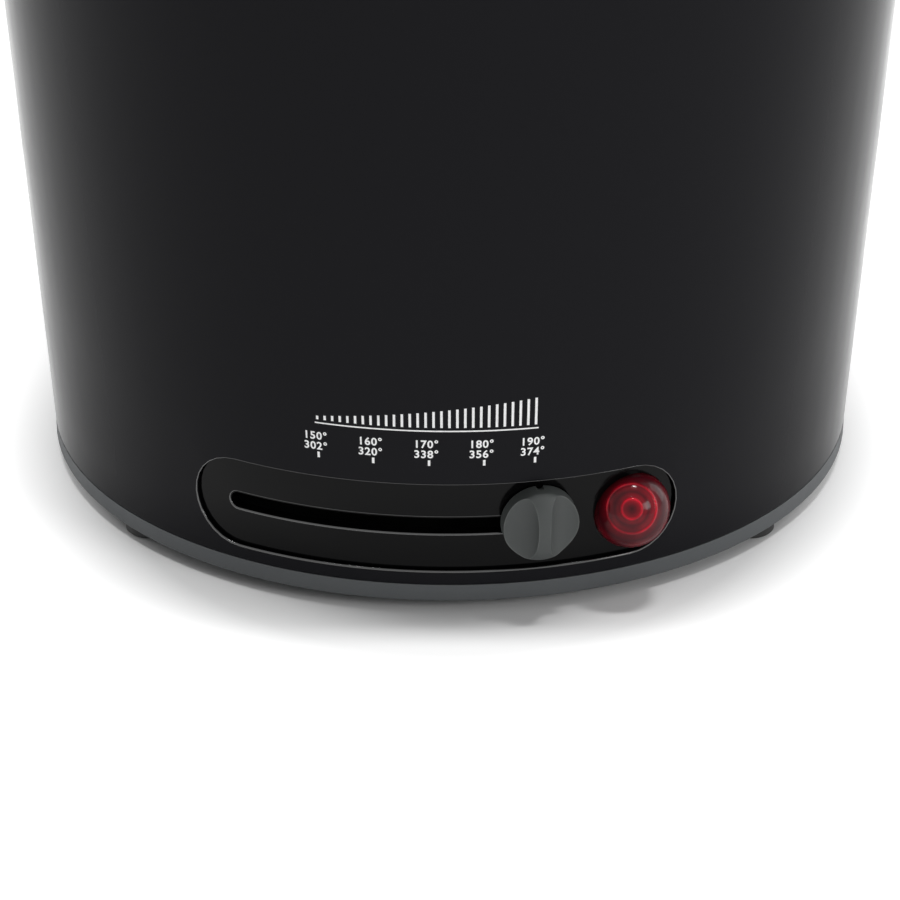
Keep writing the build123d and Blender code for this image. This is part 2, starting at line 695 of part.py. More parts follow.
with BuildPart() as bowl_gasket:
    plan_ring(LEDGE_Z, GASKET_T, FLANGE_R, MOUTH_R)
save(bowl_gasket.part, "bowl_gasket")

# Heating element under the bowl's floor, with its two terminal pins at the back
ELEMENT_Z = BOWL_FLOOR_Z - SEAT - ELEMENT_R
with BuildPart() as heating_element:
    with BuildLine(Plane.XY.offset(ELEMENT_Z)) as loop:
        turn = 90 - ELEMENT_GAP_AZ
        right_end = CenterArc((0, REAR_Y), ELEMENT_LOOP_R, turn, -turn)
        Line(right_end @ 1, (ELEMENT_LOOP_R, FRONT_Y))
        front_turn = CenterArc((0, FRONT_Y), ELEMENT_LOOP_R, 0, -180)
        Line(front_turn @ 1, (-ELEMENT_LOOP_R, REAR_Y))
        CenterArc((0, REAR_Y), ELEMENT_LOOP_R, 180, -turn)
    with BuildSketch(Plane(origin=loop.wire() @ 0, z_dir=loop.wire() % 0)):
        Circle(ELEMENT_R)
    sweep()
    for end, outwards in ((0, -1), (1, 1)):
        with BuildSketch(Plane(origin=loop.wire() @ end, z_dir=loop.wire() % end)):
            Circle(PIN_R)
        extrude(amount=outwards * PIN_L)
save(heating_element.part, "heating_element")

with BuildPart() as heat_shield:
    plan_prism(SHIELD_Z, SHIELD_T, SHIELD_R)
    plan_ring(SHIELD_Z, SHIELD_RIM, SHIELD_R, SHIELD_R - SHIELD_T)
    round_post(SHIELD_Z, SHIELD_RIM, STUD_R + SEAT, stud_place, Mode.SUBTRACT)
save(heat_shield.part, "heat_shield")

with BuildPart() as tie_spacers:
    for low, high in ((STUD_BOSS_TOP, SHIELD_Z), (SHIELD_Z + SHIELD_T, BOWL_FLOOR_Z)):
        round_post(low, high - low, SPACER_R, stud_place)
        round_post(low, high - low, STUD_R + SEAT, stud_place, Mode.SUBTRACT)
save(tie_spacers.part, "tie_spacers")

with BuildPart() as tie_stud:
    round_post(NUT_Z, BOWL_FLOOR_Z - NUT_Z, STUD_R, stud_place)
save(tie_stud.part, "tie_stud")

with BuildPart() as tie_nut:
    with BuildSketch(Plane.XY.offset(NUT_Z)):
        with Locations(stud_place):
            RegularPolygon(NUT_AF / sqrt(3), 6)
            Circle(STUD_R + RUN, mode=Mode.SUBTRACT)
    extrude(amount=NUT_H)
save(tie_nut.part, "tie_nut")

FUSE_Y = PLAN_Y + ELEMENT_LOOP_R / 2
with BuildPart() as thermal_fuse:
    cross_pin(FUSE_R, FUSE_L, FUSE_Y, SHIELD_Z - FUSE_R)
    cross_pin(FUSE_R / 4, 2 * FUSE_L, FUSE_Y, SHIELD_Z - FUSE_R)
save(thermal_fuse.part, "thermal_fuse")

# Mains terminals and the cord's outlet at the back
TERMINAL_Y = REAR_Y + BASE_R - 3 * TERMINAL_W
with BuildPart() as terminal_block:
    block((-TERMINAL_L / 2, TERMINAL_L / 2), (TERMINAL_Y, TERMINAL_Y + TERMINAL_W),
          (FLOOR_Z, FLOOR_Z + TERMINAL_H))
    with BuildSketch(Plane.XY.offset(FLOOR_Z + TERMINAL_H)):
        with Locations((0, TERMINAL_Y + TERMINAL_W / 2)):
            with GridLocations(TERMINAL_L / 3, 0, 3, 1):
                Circle(TERMINAL_L / 12)
    extrude(amount=-TERMINAL_H / 2, mode=Mode.SUBTRACT)
save(terminal_block.part, "terminal_block")

outlet_heights = (OUTLET_Z - OUTLET_H, OUTLET_Z + OUTLET_H)
outlet_sweep = (180 - OUTLET_W, 180 + OUTLET_W)
with BuildPart() as outlet_face:
    with BuildSketch(Plane.XZ.offset(-REAR_Y)):
        with Locations((0, OUTLET_Z)):
            RectangleRounded(OUTLET_W - 2 * SEAT, OUTLET_H - 2 * SEAT, OUTLET_ROUND - SEAT)
    extrude(amount=-2 * BASE_R)
    wall_sector(wall_r, (PANEL_RECESS, PANEL_BACK), outlet_heights, outlet_sweep, Mode.INTERSECT, REAR_Y)
with BuildPart() as cord_outlet:
    with BuildSketch(Plane.XZ.offset(-REAR_Y)):
        with Locations((0, OUTLET_Z)):
            RectangleRounded(OUTLET_W + 2 * PANEL_FLANGE, OUTLET_H + 2 * PANEL_FLANGE, OUTLET_ROUND)
    extrude(amount=-2 * BASE_R)
    wall_sector(wall_r, (WALL, PANEL_BACK), outlet_heights, outlet_sweep, Mode.INTERSECT, REAR_Y)
    add(outlet_face.part)
    with BuildSketch(Plane.XZ.offset(-REAR_Y)):
        with Locations((0, OUTLET_Z)):
            Circle(GLAND_R + RUN)
    extrude(amount=-2 * BASE_R, mode=Mode.SUBTRACT)
save(cord_outlet.part, "cord_outlet")

GLAND_FACE_Y = REAR_Y + wall_r(OUTLET_Z + GLAND_HEAD_R) - PANEL_RECESS
GLAND_TAIL_Y = REAR_Y + wall_r(OUTLET_Z - GLAND_HEAD_R) - PANEL_BACK - PLAY
with BuildPart() as cord_gland:
    with BuildSketch(Plane.XZ.offset(-GLAND_FACE_Y)):
        with Locations((0, OUTLET_Z)):
            Circle(GLAND_HEAD_R)
    extrude(amount=-GLAND_HEAD_T)
    fillet(cord_gland.faces().sort_by(Axis.Y)[-1].edges(), GLAND_HEAD_T / 3)
    with BuildSketch(Plane.XZ.offset(-GLAND_FACE_Y)):
        with Locations((0, OUTLET_Z)):
            Circle(GLAND_R)
    extrude(amount=GLAND_FACE_Y - GLAND_TAIL_Y + GLAND_TAIL)
    with BuildSketch(Plane.XZ.offset(-GLAND_TAIL_Y)):
        with Locations((0, OUTLET_Z)):
            Circle((GLAND_R + GLAND_HEAD_R) / 2)
    extrude(amount=GLAND_TAIL)
    with BuildSketch(Plane.XZ.offset(-REAR_Y)):
        with Locations((0, OUTLET_Z)):
            Circle(GLAND_BORE_R)
    extrude(amount=-2 * BASE_R, mode=Mode.SUBTRACT)
save(cord_gland.part, "cord_gland")

# Side hand grips: cups set into the two long sides
GRIP_X = wall_r(GRIP_Z) - GRIP_DEPTH - GRIP_T
CUP_L = GRIP_L - 2 * SEAT
CUP_H = GRIP_H - 2 * SEAT
with BuildPart() as grip_cup_right:
    with BuildSketch(Plane.YZ.offset(GRIP_X)):
        with Locations((PLAN_Y, GRIP_Z)):
            RectangleRounded(CUP_L, CUP_H, GRIP_ROUND - SEAT)
    extrude(amount=2 * GRIP_DEPTH)
    fillet(grip_cup_right.faces().sort_by(Axis.X)[0].edges(), GRIP_ROUND / 2)
    with BuildSketch(Plane.YZ.offset(GRIP_X + GRIP_T)):
        with Locations((PLAN_Y, GRIP_Z)):
            RectangleRounded(CUP_L - 2 * GRIP_T, CUP_H - 2 * GRIP_T, GRIP_ROUND - GRIP_T)
    extrude(amount=2 * GRIP_DEPTH, mode=Mode.SUBTRACT)
    plan_prism(WALL_Z, BODY_H, BASE_R - SEAT, -DRAFT, Mode.INTERSECT)
with BuildPart() as grip_cup_left:
    mirror(grip_cup_right.part, about=Plane.YZ)
save(grip_cup_right.part, "grip_cup_right")
save(grip_cup_left.part, "grip_cup_left")

# Hinge: bracket screwed to the back of the housing, with the lid's pin
PAD_TOP = HINGE_Z - KNUCKLE_R - 2 * PLAY
PAD_HALF = KNUCKLE_W / 2 + PLAY + EAR_T
with BuildPart() as hinge_bracket:
    block((-PAD_HALF, PAD_HALF), (REAR_Y + BASE_R, HINGE_Y + KNUCKLE_R), (RIM_Z - BRACKET_DROP, PAD_TOP))
    back_edges = hinge_bracket.edges().filter_by(Axis.X).group_by(Axis.Y)[-1]
    chamfer(back_edges.sort_by(Axis.Z)[0], BRACKET_DROP / 2)
    for side in (-1, 1):
        x_limits = sorted((side * (KNUCKLE_W / 2 + PLAY), side * PAD_HALF))
        block(x_limits, (HINGE_Y - KNUCKLE_R, HINGE_Y + KNUCKLE_R), (PAD_TOP, HINGE_Z))
    cross_pin(KNUCKLE_R, 2 * PAD_HALF, HINGE_Y, HINGE_Z)
    block((-KNUCKLE_W / 2 - PLAY, KNUCKLE_W / 2 + PLAY), (REAR_Y + BASE_R, HINGE_Y + 2 * KNUCKLE_R),
          (PAD_TOP, HINGE_Z + KNUCKLE_R), Mode.SUBTRACT)
    cross_pin(HINGE_PIN_R + RUN, 2 * PAD_HALF, HINGE_Y, HINGE_Z, Mode.SUBTRACT)
    plan_prism(WALL_Z, BODY_H, BASE_R + RUN, -DRAFT, Mode.SUBTRACT)
    for side in (-1, 1):
        with BuildSketch(Plane.XZ.offset(-REAR_Y)):
            with Locations((side * HINGE_SCREW_X, HINGE_SCREW_Z)):
                Circle(SCREW_R + RUN)
        extrude(amount=-(wall_r(RIM_Z) + HINGE_OUT / 2), mode=Mode.SUBTRACT)
save(hinge_bracket.part, "hinge_bracket")

with BuildPart() as hinge_pin:
    cross_pin(HINGE_PIN_R, 2 * PAD_HALF, HINGE_Y, HINGE_Z)
save(hinge_pin.part, "hinge_pin")

HEAD_SEAT_R = wall_r(HINGE_SCREW_Z - SCREW_HEAD_R) - WALL
HINGE_HEAD_Y = REAR_Y + sqrt(HEAD_SEAT_R ** 2 - (HINGE_SCREW_X + SCREW_HEAD_R) ** 2)
with BuildPart() as hinge_screws:
    for side in (-1, 1):
        with BuildSketch(Plane.XZ.offset(-HINGE_HEAD_Y)):
            with Locations((side * HINGE_SCREW_X, HINGE_SCREW_Z)):
                Circle(SCREW_HEAD_R)
        extrude(amount=SCREW_HEAD_H)
        with BuildSketch(Plane.XZ.offset(-HINGE_HEAD_Y)):
            with Locations((side * HINGE_SCREW_X, HINGE_SCREW_Z)):
                Circle(SCREW_R)
        extrude(amount=-(WALL + HINGE_OUT / 2))
save(hinge_screws.part, "hinge_screws")

# Lid shell, drawn closed: crowned cover with the hinge's knuckle, openings, bosses and latch lugs
WINDOW_Y = FRONT_Y - WINDOW_FORWARD
FILTER_Y = REAR_Y + FILTER_BACK


def window_prism(z, height, margin, mode=Mode.ADD):
    """Upright prism of the window's outline, grown all round by a margin."""
    size = (WINDOW_L + 2 * margin, WINDOW_W + 2 * margin)
    rounded_prism(z, height, *size, WINDOW_ROUND + margin, WINDOW_Y, mode)


def filter_prism(z, height, margin, mode=Mode.ADD):
    """Upright prism of the filter's outline, grown all round by a margin."""
    size = (FILTER_L + 2 * margin, FILTER_W + 2 * margin)
    rounded_prism(z, height, *size, FILTER_ROUND + margin, FILTER_Y, mode)


SKIN_Z = LID_TOP_Z - LID_WALL
LINER_LOW = LID_Z + LINER_Z
LINER_TOP = LINER_LOW + LINER_T
LATCH_LOW = LID_Z + LATCH_ABOVE_SEAM
LATCH_PIVOT_Z = LID_Z + LATCH_PIVOT_RISE
HOOK_R = LATCH_SLOT_IN + 2 * PLAY
LATCH_PIVOT_Y = FRONT_Y - HOOK_R + LATCH_BARREL_R
LUG_X = LATCH_W / 2 + LUG_GAP
lid_boss_places = [(side * LID_BOSS_X, y) for side in (-1, 1) for y in (FRONT_Y, REAR_Y)]
with BuildPart() as lid_hollow:
    plan_prism(LID_Z, LID_H - LID_WALL, LID_R - LID_WALL, LID_DRAFT)
    fillet(lid_hollow.faces().sort_by(Axis.Z)[-1].edges(), LID_CROWN - LID_WALL)
with BuildPart() as lid_crown:
    plan_prism(LID_Z, LID_H, LID_R, LID_DRAFT)
    fillet(lid_crown.faces().sort_by(Axis.Z)[-1].edges(), LID_CROWN)
with BuildPart() as lid_shell:
    add(lid_crown.part)
    block((-KNUCKLE_W / 2, KNUCKLE_W / 2), (REAR_Y + LID_R - HINGE_OUT, HINGE_Y),
          (LID_Z + PLAY, HINGE_Z + KNUCKLE_R))
    cross_pin(KNUCKLE_R, KNUCKLE_W, HINGE_Y, HINGE_Z)
    add(lid_hollow.part, mode=Mode.SUBTRACT)
    cross_pin(HINGE_PIN_R + RUN, KNUCKLE_W, HINGE_Y, HINGE_Z, Mode.SUBTRACT)
    window_prism(SKIN_Z, LID_WALL, 0, Mode.SUBTRACT)
    filter_prism(SKIN_Z, LID_WALL, 0, Mode.SUBTRACT)
    for place in lid_boss_places:
        round_post(LINER_TOP, SKIN_Z - LINER_TOP + LID_WALL / 2, LID_BOSS_R, place)
        round_post(LINER_TOP, BOSS_H, SCREW_R + RUN, place, Mode.SUBTRACT)
    for side in (-1, 1):
        x_limits = sorted((side * LUG_X, side * (LUG_X + LATCH_LUG_T)))
        block(x_limits, (FRONT_Y - LID_R + LID_WALL, LATCH_PIVOT_Y + LATCH_BARREL_R),
              (LATCH_PIVOT_Z - LATCH_BARREL_R, LATCH_PIVOT_Z + LATCH_BARREL_R))
    cross_pin(LATCH_PIN_R + RUN, LATCH_W * 2, LATCH_PIVOT_Y, LATCH_PIVOT_Z, Mode.SUBTRACT)
    block((-LATCH_W / 2, LATCH_W / 2), (FRONT_Y - LID_R, FRONT_Y - LID_R + LID_CROWN / 2),
          (LATCH_LOW, LATCH_LOW + LATCH_H), Mode.SUBTRACT)
save_on_lid(lid_shell.part, "lid_shell")

# Liner, seal and their screws
SEAL_Z = BOWL_TOP_Z + SEAL_GAP
SEAL_MID_R = LINER_R - LINER_T / 2
with BuildPart() as lid_liner:
    plan_prism(SEAL_Z + SEAL_H / 2, LINER_TOP - SEAL_Z - SEAL_H / 2, LINER_R)
    fillet(lid_liner.faces().sort_by(Axis.Z)[-1].edges(), LINER_T * 3)
    plan_prism(SEAL_Z, LINER_LOW - SEAL_Z, LINER_R - LINER_T, mode=Mode.SUBTRACT)
    window_prism(LINER_LOW, LINER_T, 0, Mode.SUBTRACT)
    with BuildSketch(Plane.XY.offset(LINER_LOW)):
        with Locations((0, FILTER_Y)):
            with GridLocations(LINER_VENT_PITCH, LINER_VENT_PITCH, *LINER_VENTS):
                Circle(LINER_VENT_R)
    extrude(amount=LINER_T, mode=Mode.SUBTRACT)
    for place in lid_boss_places:
        round_post(LINER_LOW, LINER_T, SCREW_R + SEAT, place, Mode.SUBTRACT)
save_on_lid(lid_liner.part, "lid_liner")

with BuildPart() as lid_seal:
    plan_ring(SEAL_Z, SEAL_H, SEAL_MID_R + SEAL_W / 2, SEAL_MID_R - SEAL_W / 2)
    plan_ring(SEAL_Z + SEAL_H / 2, SEAL_H, LINER_R + RUN, LINER_R - LINER_T - RUN, Mode.SUBTRACT)
save_on_lid(lid_seal.part, "lid_seal")

with BuildPart() as liner_screws:
    for place in lid_boss_places:
        round_post(LINER_LOW - SCREW_HEAD_H, SCREW_HEAD_H, SCREW_HEAD_R, place)
        round_post(LINER_LOW - SCREW_HEAD_H, BOSS_H, SCREW_R, place)
save_on_lid(liner_screws.part, "liner_screws")

# Window: glass under the skin, gasket round it and the frame that reaches up from the liner
GLASS_TOP = SKIN_Z - GASKET_T
GLASS_LOW = GLASS_TOP - GLASS_T
with BuildPart() as window_gasket:
    window_prism(GLASS_TOP, GASKET_T, GLASS_LAP)
    window_prism(GLASS_TOP, GASKET_T, 0, Mode.SUBTRACT)
save_on_lid(window_gasket.part, "window_gasket")

with BuildPart() as lid_window:
    window_prism(GLASS_LOW, GLASS_T, GLASS_LAP)
    fillet(lid_window.faces().filter_by(Axis.Z).edges(), GASKET_T / 2)
save_on_lid(lid_window.part, "lid_window")

with BuildPart() as window_frame:
    window_prism(LINER_TOP, FRAME_T, GLASS_LAP + FRAME_T)
    window_prism(LINER_TOP, GLASS_LOW - LINER_TOP, FRAME_T)
    window_prism(GLASS_LOW - FRAME_T, SKIN_Z - GLASS_LOW + FRAME_T, GLASS_LAP + FRAME_T)
    window_prism(GLASS_LOW, LID_H, GLASS_LAP + RUN, Mode.SUBTRACT)
    window_prism(LINER_TOP, SKIN_Z - LINER_TOP, 0, Mode.SUBTRACT)
save_on_lid(window_frame.part, "window_frame")

# Steam filter: duct from the liner's holes to the skin, filter pack and cover
PACK_Z = SKIN_Z - SPIGOT_H - FILTER_T
with BuildPart() as filter_duct:
    filter_prism(LINER_TOP, SKIN_Z - LINER_TOP, DUCT_T)
    filter_prism(LINER_TOP, SKIN_Z - LINER_TOP, -DUCT_LEDGE, Mode.SUBTRACT)
    filter_prism(PACK_Z, LID_H, 0, Mode.SUBTRACT)
save_on_lid(filter_duct.part, "filter_duct")

with BuildPart() as filter_pack:
    filter_prism(PACK_Z, FILTER_T, -SEAT)
    fillet(filter_pack.faces().filter_by(Axis.Z).edges(), PACK_ROUND)
save_on_lid(filter_pack.part, "filter_pack")

with BuildPart() as filter_cover:
    filter_prism(LID_TOP_Z, COVER_T, COVER_LAP)
    fillet(filter_cover.faces().sort_by(Axis.Z)[-1].edges(), COVER_T / 2)
    filter_prism(LID_TOP_Z - SPIGOT_H, SPIGOT_H, -PLAY)
    filter_prism(LID_TOP_Z - SPIGOT_H, SPIGOT_H, -PLAY - SPIGOT_T, Mode.SUBTRACT)
    with BuildSketch(Plane.XY.offset(LID_TOP_Z)):
        with Locations((0, FILTER_Y)):
            with GridLocations(COVER_SLOT_PITCH, 0, COVER_SLOTS, 1):
                SlotOverall(FILTER_W - 4 * SPIGOT_T, COVER_SLOT_W, rotation=90)
    extrude(amount=COVER_T, mode=Mode.SUBTRACT)
save_on_lid(filter_cover.part, "filter_cover")

# Latch: rocker with a push pad flush in the lid's front and a hook that reaches under the deck
HOOK_LOW = LEDGE_Z - DECK_T - PLAY - HOOK_TIP_H
LID_FRONT_Y = FRONT_Y - LID_R
HOOK_BACK_Y = FRONT_Y - HOOK_R
with BuildPart() as latch_pad:
    add(lid_crown.part)
    block((-LATCH_W / 2 + PLAY, LATCH_W / 2 - PLAY), (LID_FRONT_Y, LID_FRONT_Y + LATCH_PAD_T + LID_WALL),
          (LATCH_LOW + PLAY, LATCH_LOW + LATCH_H - LATCH_SWING_GAP), Mode.INTERSECT)
with BuildPart() as latch_rocker:
    add(latch_pad.part)
    cross_pin(LATCH_BARREL_R, 2 * LUG_X - 2 * PLAY, LATCH_PIVOT_Y, LATCH_PIVOT_Z)
    block((-LATCH_W / 3, LATCH_W / 3), (LID_FRONT_Y + LID_WALL, LATCH_PIVOT_Y),
          (LATCH_PIVOT_Z - LATCH_BARREL_R / 2, LATCH_PIVOT_Z + LATCH_BARREL_R / 2))
    block((-HOOK_W / 2, HOOK_W / 2), (HOOK_BACK_Y - HOOK_T, HOOK_BACK_Y), (HOOK_LOW, LATCH_PIVOT_Z))
    block((-HOOK_W / 2, HOOK_W / 2), (HOOK_BACK_Y - HOOK_T, FRONT_Y - LATCH_SLOT_IN + HOOK_BITE),
          (HOOK_LOW, HOOK_LOW + HOOK_TIP_H))
    cross_pin(LATCH_PIN_R + RUN, 2 * LUG_X, LATCH_PIVOT_Y, LATCH_PIVOT_Z, Mode.SUBTRACT)
save_on_lid(latch_rocker.part, "latch_rocker")

with BuildPart() as latch_pin:
    cross_pin(LATCH_PIN_R, 2 * (LUG_X + LATCH_LUG_T), LATCH_PIVOT_Y, LATCH_PIVOT_Z)
save_on_lid(latch_pin.part, "latch_pin")

# Basket: pressed floor tray, and a wall of bent mesh panels that butt against each other
TRAY_TOP_Z = BASKET_FLOOR_Z + BASKET_ROUND
WALL_LOW_Z = TRAY_TOP_Z + PANEL_JOINT
WALL_RISE = BASKET_TOP_Z - WALL_LOW_Z
BASKET_FLOOR_R = basket_r(BASKET_FLOOR_Z)
BAR_PITCH = BAR_W + SIDE_SLOT_W
WINDOWS_LOW = WALL_LOW_Z + BAR_W
WINDOW_ROW_H = (BASKET_TOP_Z - WINDOWS_LOW) / SLOT_ROWS
PANEL_WINDOWS = int(pi * BASKET_FLOOR_R / BAR_PITCH / PANELS_PER_END)
END_WINDOWS = PANEL_WINDOWS * PANELS_PER_END
WINDOW_AZ = 180 / END_WINDOWS
SIDE_WINDOWS = int(STRAIGHT / BAR_PITCH)
bracket_heights = (BASKET_TOP_Z - BRACKET_H, BASKET_TOP_Z - SEAT)
RIVET_Z = BASKET_TOP_Z - BRACKET_H / 2


def end_places(steps, whole_front=False):
    """Places on the basket's two round ends, counted in windows from each end's start."""
    places = []
    for centre_y, start in ((FRONT_Y, -90), (REAR_Y, 90)):
        for step in steps:
            azimuth = start + step * WINDOW_AZ
            if whole_front and abs(azimuth) < BRACKET_AZ + WINDOW_AZ / 2:
                continue
            x, y = on_arc(BASKET_TOP_R, azimuth, centre_y)
            places.append(Location((x, y, 0), (0, 0, azimuth - 90)))
    return places


window_steps = [index + 0.5 for index in range(END_WINDOWS)]
joint_steps = [(index + 0.5) * PANEL_WINDOWS for index in range(PANELS_PER_END)]
with BuildPart() as basket_floor:
    plan_prism(BASKET_FLOOR_Z, BASKET_ROUND, BASKET_FLOOR_R, -BASKET_DRAFT)
    fillet(basket_floor.faces().sort_by(Axis.Z)[0].edges(), BASKET_ROUND - BASKET_T)
    tray_inside = (BASKET_FLOOR_Z + BASKET_T, BASKET_ROUND, BASKET_FLOOR_R - BASKET_T)
    plan_prism(*tray_inside, -BASKET_DRAFT, Mode.SUBTRACT)
    with BuildSketch(Plane.XY.offset(BASKET_FLOOR_Z)):
        with Locations((0, PLAN_Y)):
            with GridLocations(BAR_PITCH, FLOOR_SLOT_L + BAR_W, FLOOR_SLOTS, FLOOR_ROWS):
                Rectangle(SIDE_SLOT_W, FLOOR_SLOT_L)
    extrude(amount=BASKET_T, mode=Mode.SUBTRACT)
    for place in four_places(BASKET_FLOOR_R - 2 * BASKET_FOOT_R, FOOT_AZ):
        round_post(BASKET_FLOOR_Z - BASKET_FOOT_H, BASKET_FOOT_H + BASKET_T, BASKET_FOOT_R, place)
save(basket_floor.part, "basket_floor")

with BuildPart() as basket_wall:
    plan_prism(WALL_LOW_Z, WALL_RISE, basket_r(WALL_LOW_Z), -BASKET_DRAFT)
    plan_prism(WALL_LOW_Z, WALL_RISE, basket_r(WALL_LOW_Z) - BASKET_T, -BASKET_DRAFT, Mode.SUBTRACT)
    for row in range(SLOT_ROWS):
        with BuildSketch(Plane.XY.offset(WINDOWS_LOW + row * WINDOW_ROW_H)):
            with Locations(*end_places(window_steps, row == SLOT_ROWS - 1)):
                Rectangle(2 * BASKET_CUT_R, SIDE_SLOT_W)
            with Locations((0, PLAN_Y)):
                with GridLocations(2 * BASKET_TOP_R, STRAIGHT / SIDE_WINDOWS, 2, SIDE_WINDOWS):
                    Rectangle(2 * BASKET_CUT_R, SIDE_SLOT_W)
        extrude(amount=WINDOW_ROW_H - BAR_W, mode=Mode.SUBTRACT)
    with BuildSketch(Plane.XY.offset(WALL_LOW_Z)):
        with Locations(*end_places(joint_steps)):
            Rectangle(2 * BASKET_CUT_R, PANEL_JOINT)
    extrude(amount=WALL_RISE, mode=Mode.SUBTRACT)
    for side in (-1, 1):
        with BuildSketch(facing_plane(side * RIVET_AZ, RIVET_Z, 0)):
            Circle(RIVET_R + RUN)
        extrude(amount=2 * BASE_R, mode=Mode.SUBTRACT)
save(basket_wall.part, "basket_wall")

RIM_WIRE_PATH_R = BASKET_TOP_R - BASKET_T / 2
with BuildPart() as basket_rim:
    with BuildLine(Plane.XY.offset(BASKET_TOP_Z + RIM_WIRE_R)) as rim_path:
        rear_turn = CenterArc((0, REAR_Y), RIM_WIRE_PATH_R, 0, 180)
        Line(rear_turn @ 1, (-RIM_WIRE_PATH_R, FRONT_Y))
        front_turn = CenterArc((0, FRONT_Y), RIM_WIRE_PATH_R, 180, 180)
        Line(front_turn @ 1, rear_turn @ 0)
    with BuildSketch(Plane(origin=rim_path.wire() @ 0, z_dir=rim_path.wire() % 0)):
        Circle(RIM_WIRE_R)
    sweep()
save(basket_rim.part, "basket_rim")

# Handle bracket inside the basket's front, with two ears that rise over the rim wire
EAR_EDGE_Y = FRONT_Y - RIM_WIRE_PATH_R + RIM_WIRE_R + BRACKET_T
EAR_STEP_Z = BASKET_TOP_Z + 2 * RIM_WIRE_R + 2 * PLAY


def plate_y(z):
    """Depth of the bracket plate's middle at the ears."""
    return FRONT_Y - sqrt((basket_r(z) - BASKET_T - BRACKET_T / 2) ** 2 - EAR_X ** 2)


with BuildPart() as handle_bracket:
    plate_depths = (BASKET_T + RUN, BASKET_T + BRACKET_T)
    wall_sector(basket_r, plate_depths, bracket_heights, (-BRACKET_AZ, BRACKET_AZ), Mode.ADD)
    for start in (-EAR_X - EAR_PLATE_T, EAR_X):
        low, high = bracket_heights
        with BuildSketch(Plane.YZ.offset(start)):
            Polygon((plate_y(low), low), (EAR_EDGE_Y + EAR_DEPTH, low), (EAR_EDGE_Y + EAR_DEPTH, high),
                    (plate_y(high), high), align=None)
            with Locations((EAR_EDGE_Y + EAR_DEPTH / 2, (high + EAR_STEP_Z) / 2)):
                Rectangle(EAR_DEPTH, EAR_STEP_Z - high + EAR_R)
        extrude(amount=EAR_PLATE_T)
        with BuildSketch(Plane.YZ.offset(start)):
            with Locations((EAR_EDGE_Y + EAR_DEPTH / 2, EAR_STEP_Z + EAR_R / 2)):
                Rectangle(EAR_DEPTH, EAR_R)
            with Locations((PIVOT_Y, PIVOT_Z)):
                Circle(EAR_R)
            make_hull()
        extrude(amount=EAR_PLATE_T)
    cross_pin(HANDLE_PIN_R + RUN, 4 * EAR_X, PIVOT_Y, PIVOT_Z, Mode.SUBTRACT)
    for side in (-1, 1):
        with BuildSketch(facing_plane(side * RIVET_AZ, RIVET_Z, 0)):
            Circle(RIVET_R + RUN)
        extrude(amount=2 * BASE_R, mode=Mode.SUBTRACT)
save(handle_bracket.part, "handle_bracket")

RIVET_OUT_R = basket_r(RIVET_Z + RIVET_HEAD_R)
RIVET_IN_R = basket_r(RIVET_Z - RIVET_HEAD_R) - BASKET_T - BRACKET_T - RUN
with BuildPart() as bracket_rivets:
    for side in (-1, 1):
        for start, length, radius in (
            (RIVET_OUT_R, RIVET_HEAD_T, RIVET_HEAD_R),
            (RIVET_IN_R - RIVET_HEAD_T, RIVET_HEAD_T, RIVET_HEAD_R),
            (RIVET_IN_R - RIVET_HEAD_T, RIVET_OUT_R - RIVET_IN_R + 2 * RIVET_HEAD_T, RIVET_R),
        ):
            with BuildSketch(facing_plane(side * RIVET_AZ, RIVET_Z, start)):
                Circle(radius)
            extrude(amount=length)
save(bracket_rivets.part, "bracket_rivets")

with BuildPart() as handle_pin:
    cross_pin(HANDLE_PIN_R, 2 * (EAR_X + EAR_PLATE_T + RUN), PIVOT_Y, PIVOT_Z)
    for start in (-EAR_X - EAR_PLATE_T - RUN - RIVET_HEAD_T, EAR_X + EAR_PLATE_T + RUN):
        with BuildSketch(Plane.YZ.offset(start)):
            with Locations((PIVOT_Y, PIVOT_Z)):
                Circle(HANDLE_PIN_R + RIVET_HEAD_T)
        extrude(amount=RIVET_HEAD_T)
save(handle_pin.part, "handle_pin")

# Handle, drawn straight out over the front: steel arm, two grip shells, screws and release button
GRIP_L_OUT = HANDLE_L - GRIP_START
GRIP_MID_Y = PIVOT_Y - (HANDLE_L + GRIP_START) / 2
GRIP_HALF = GRIP_THICK / 2
grip_screw_ys = (PIVOT_Y - ARM_L - GRIP_END_R, PIVOT_Y - HANDLE_L + GRIP_END_R + SCREW_HEAD_R)
with BuildPart() as handle_arm:
    cross_pin(ARM_BARREL_R, 2 * (EAR_X - PLAY), PIVOT_Y, PIVOT_Z)
    block((-ARM_W / 2, ARM_W / 2), (PIVOT_Y - ARM_L, PIVOT_Y),
          (PIVOT_Z - ARM_T / 2, PIVOT_Z + ARM_T / 2))
    cross_pin(HANDLE_PIN_R + RUN, 4 * EAR_X, PIVOT_Y, PIVOT_Z, Mode.SUBTRACT)
save_on_handle(handle_arm.part, "handle_arm")


def arm_room():
    """Cut the arm's room out of the grip shell that is open."""
    block((-ARM_W / 2 - SEAT, ARM_W / 2 + SEAT), (PIVOT_Y - ARM_L - SEAT, PIVOT_Y),
          (PIVOT_Z - ARM_T / 2 - SEAT, PIVOT_Z + ARM_T / 2 + SEAT), Mode.SUBTRACT)


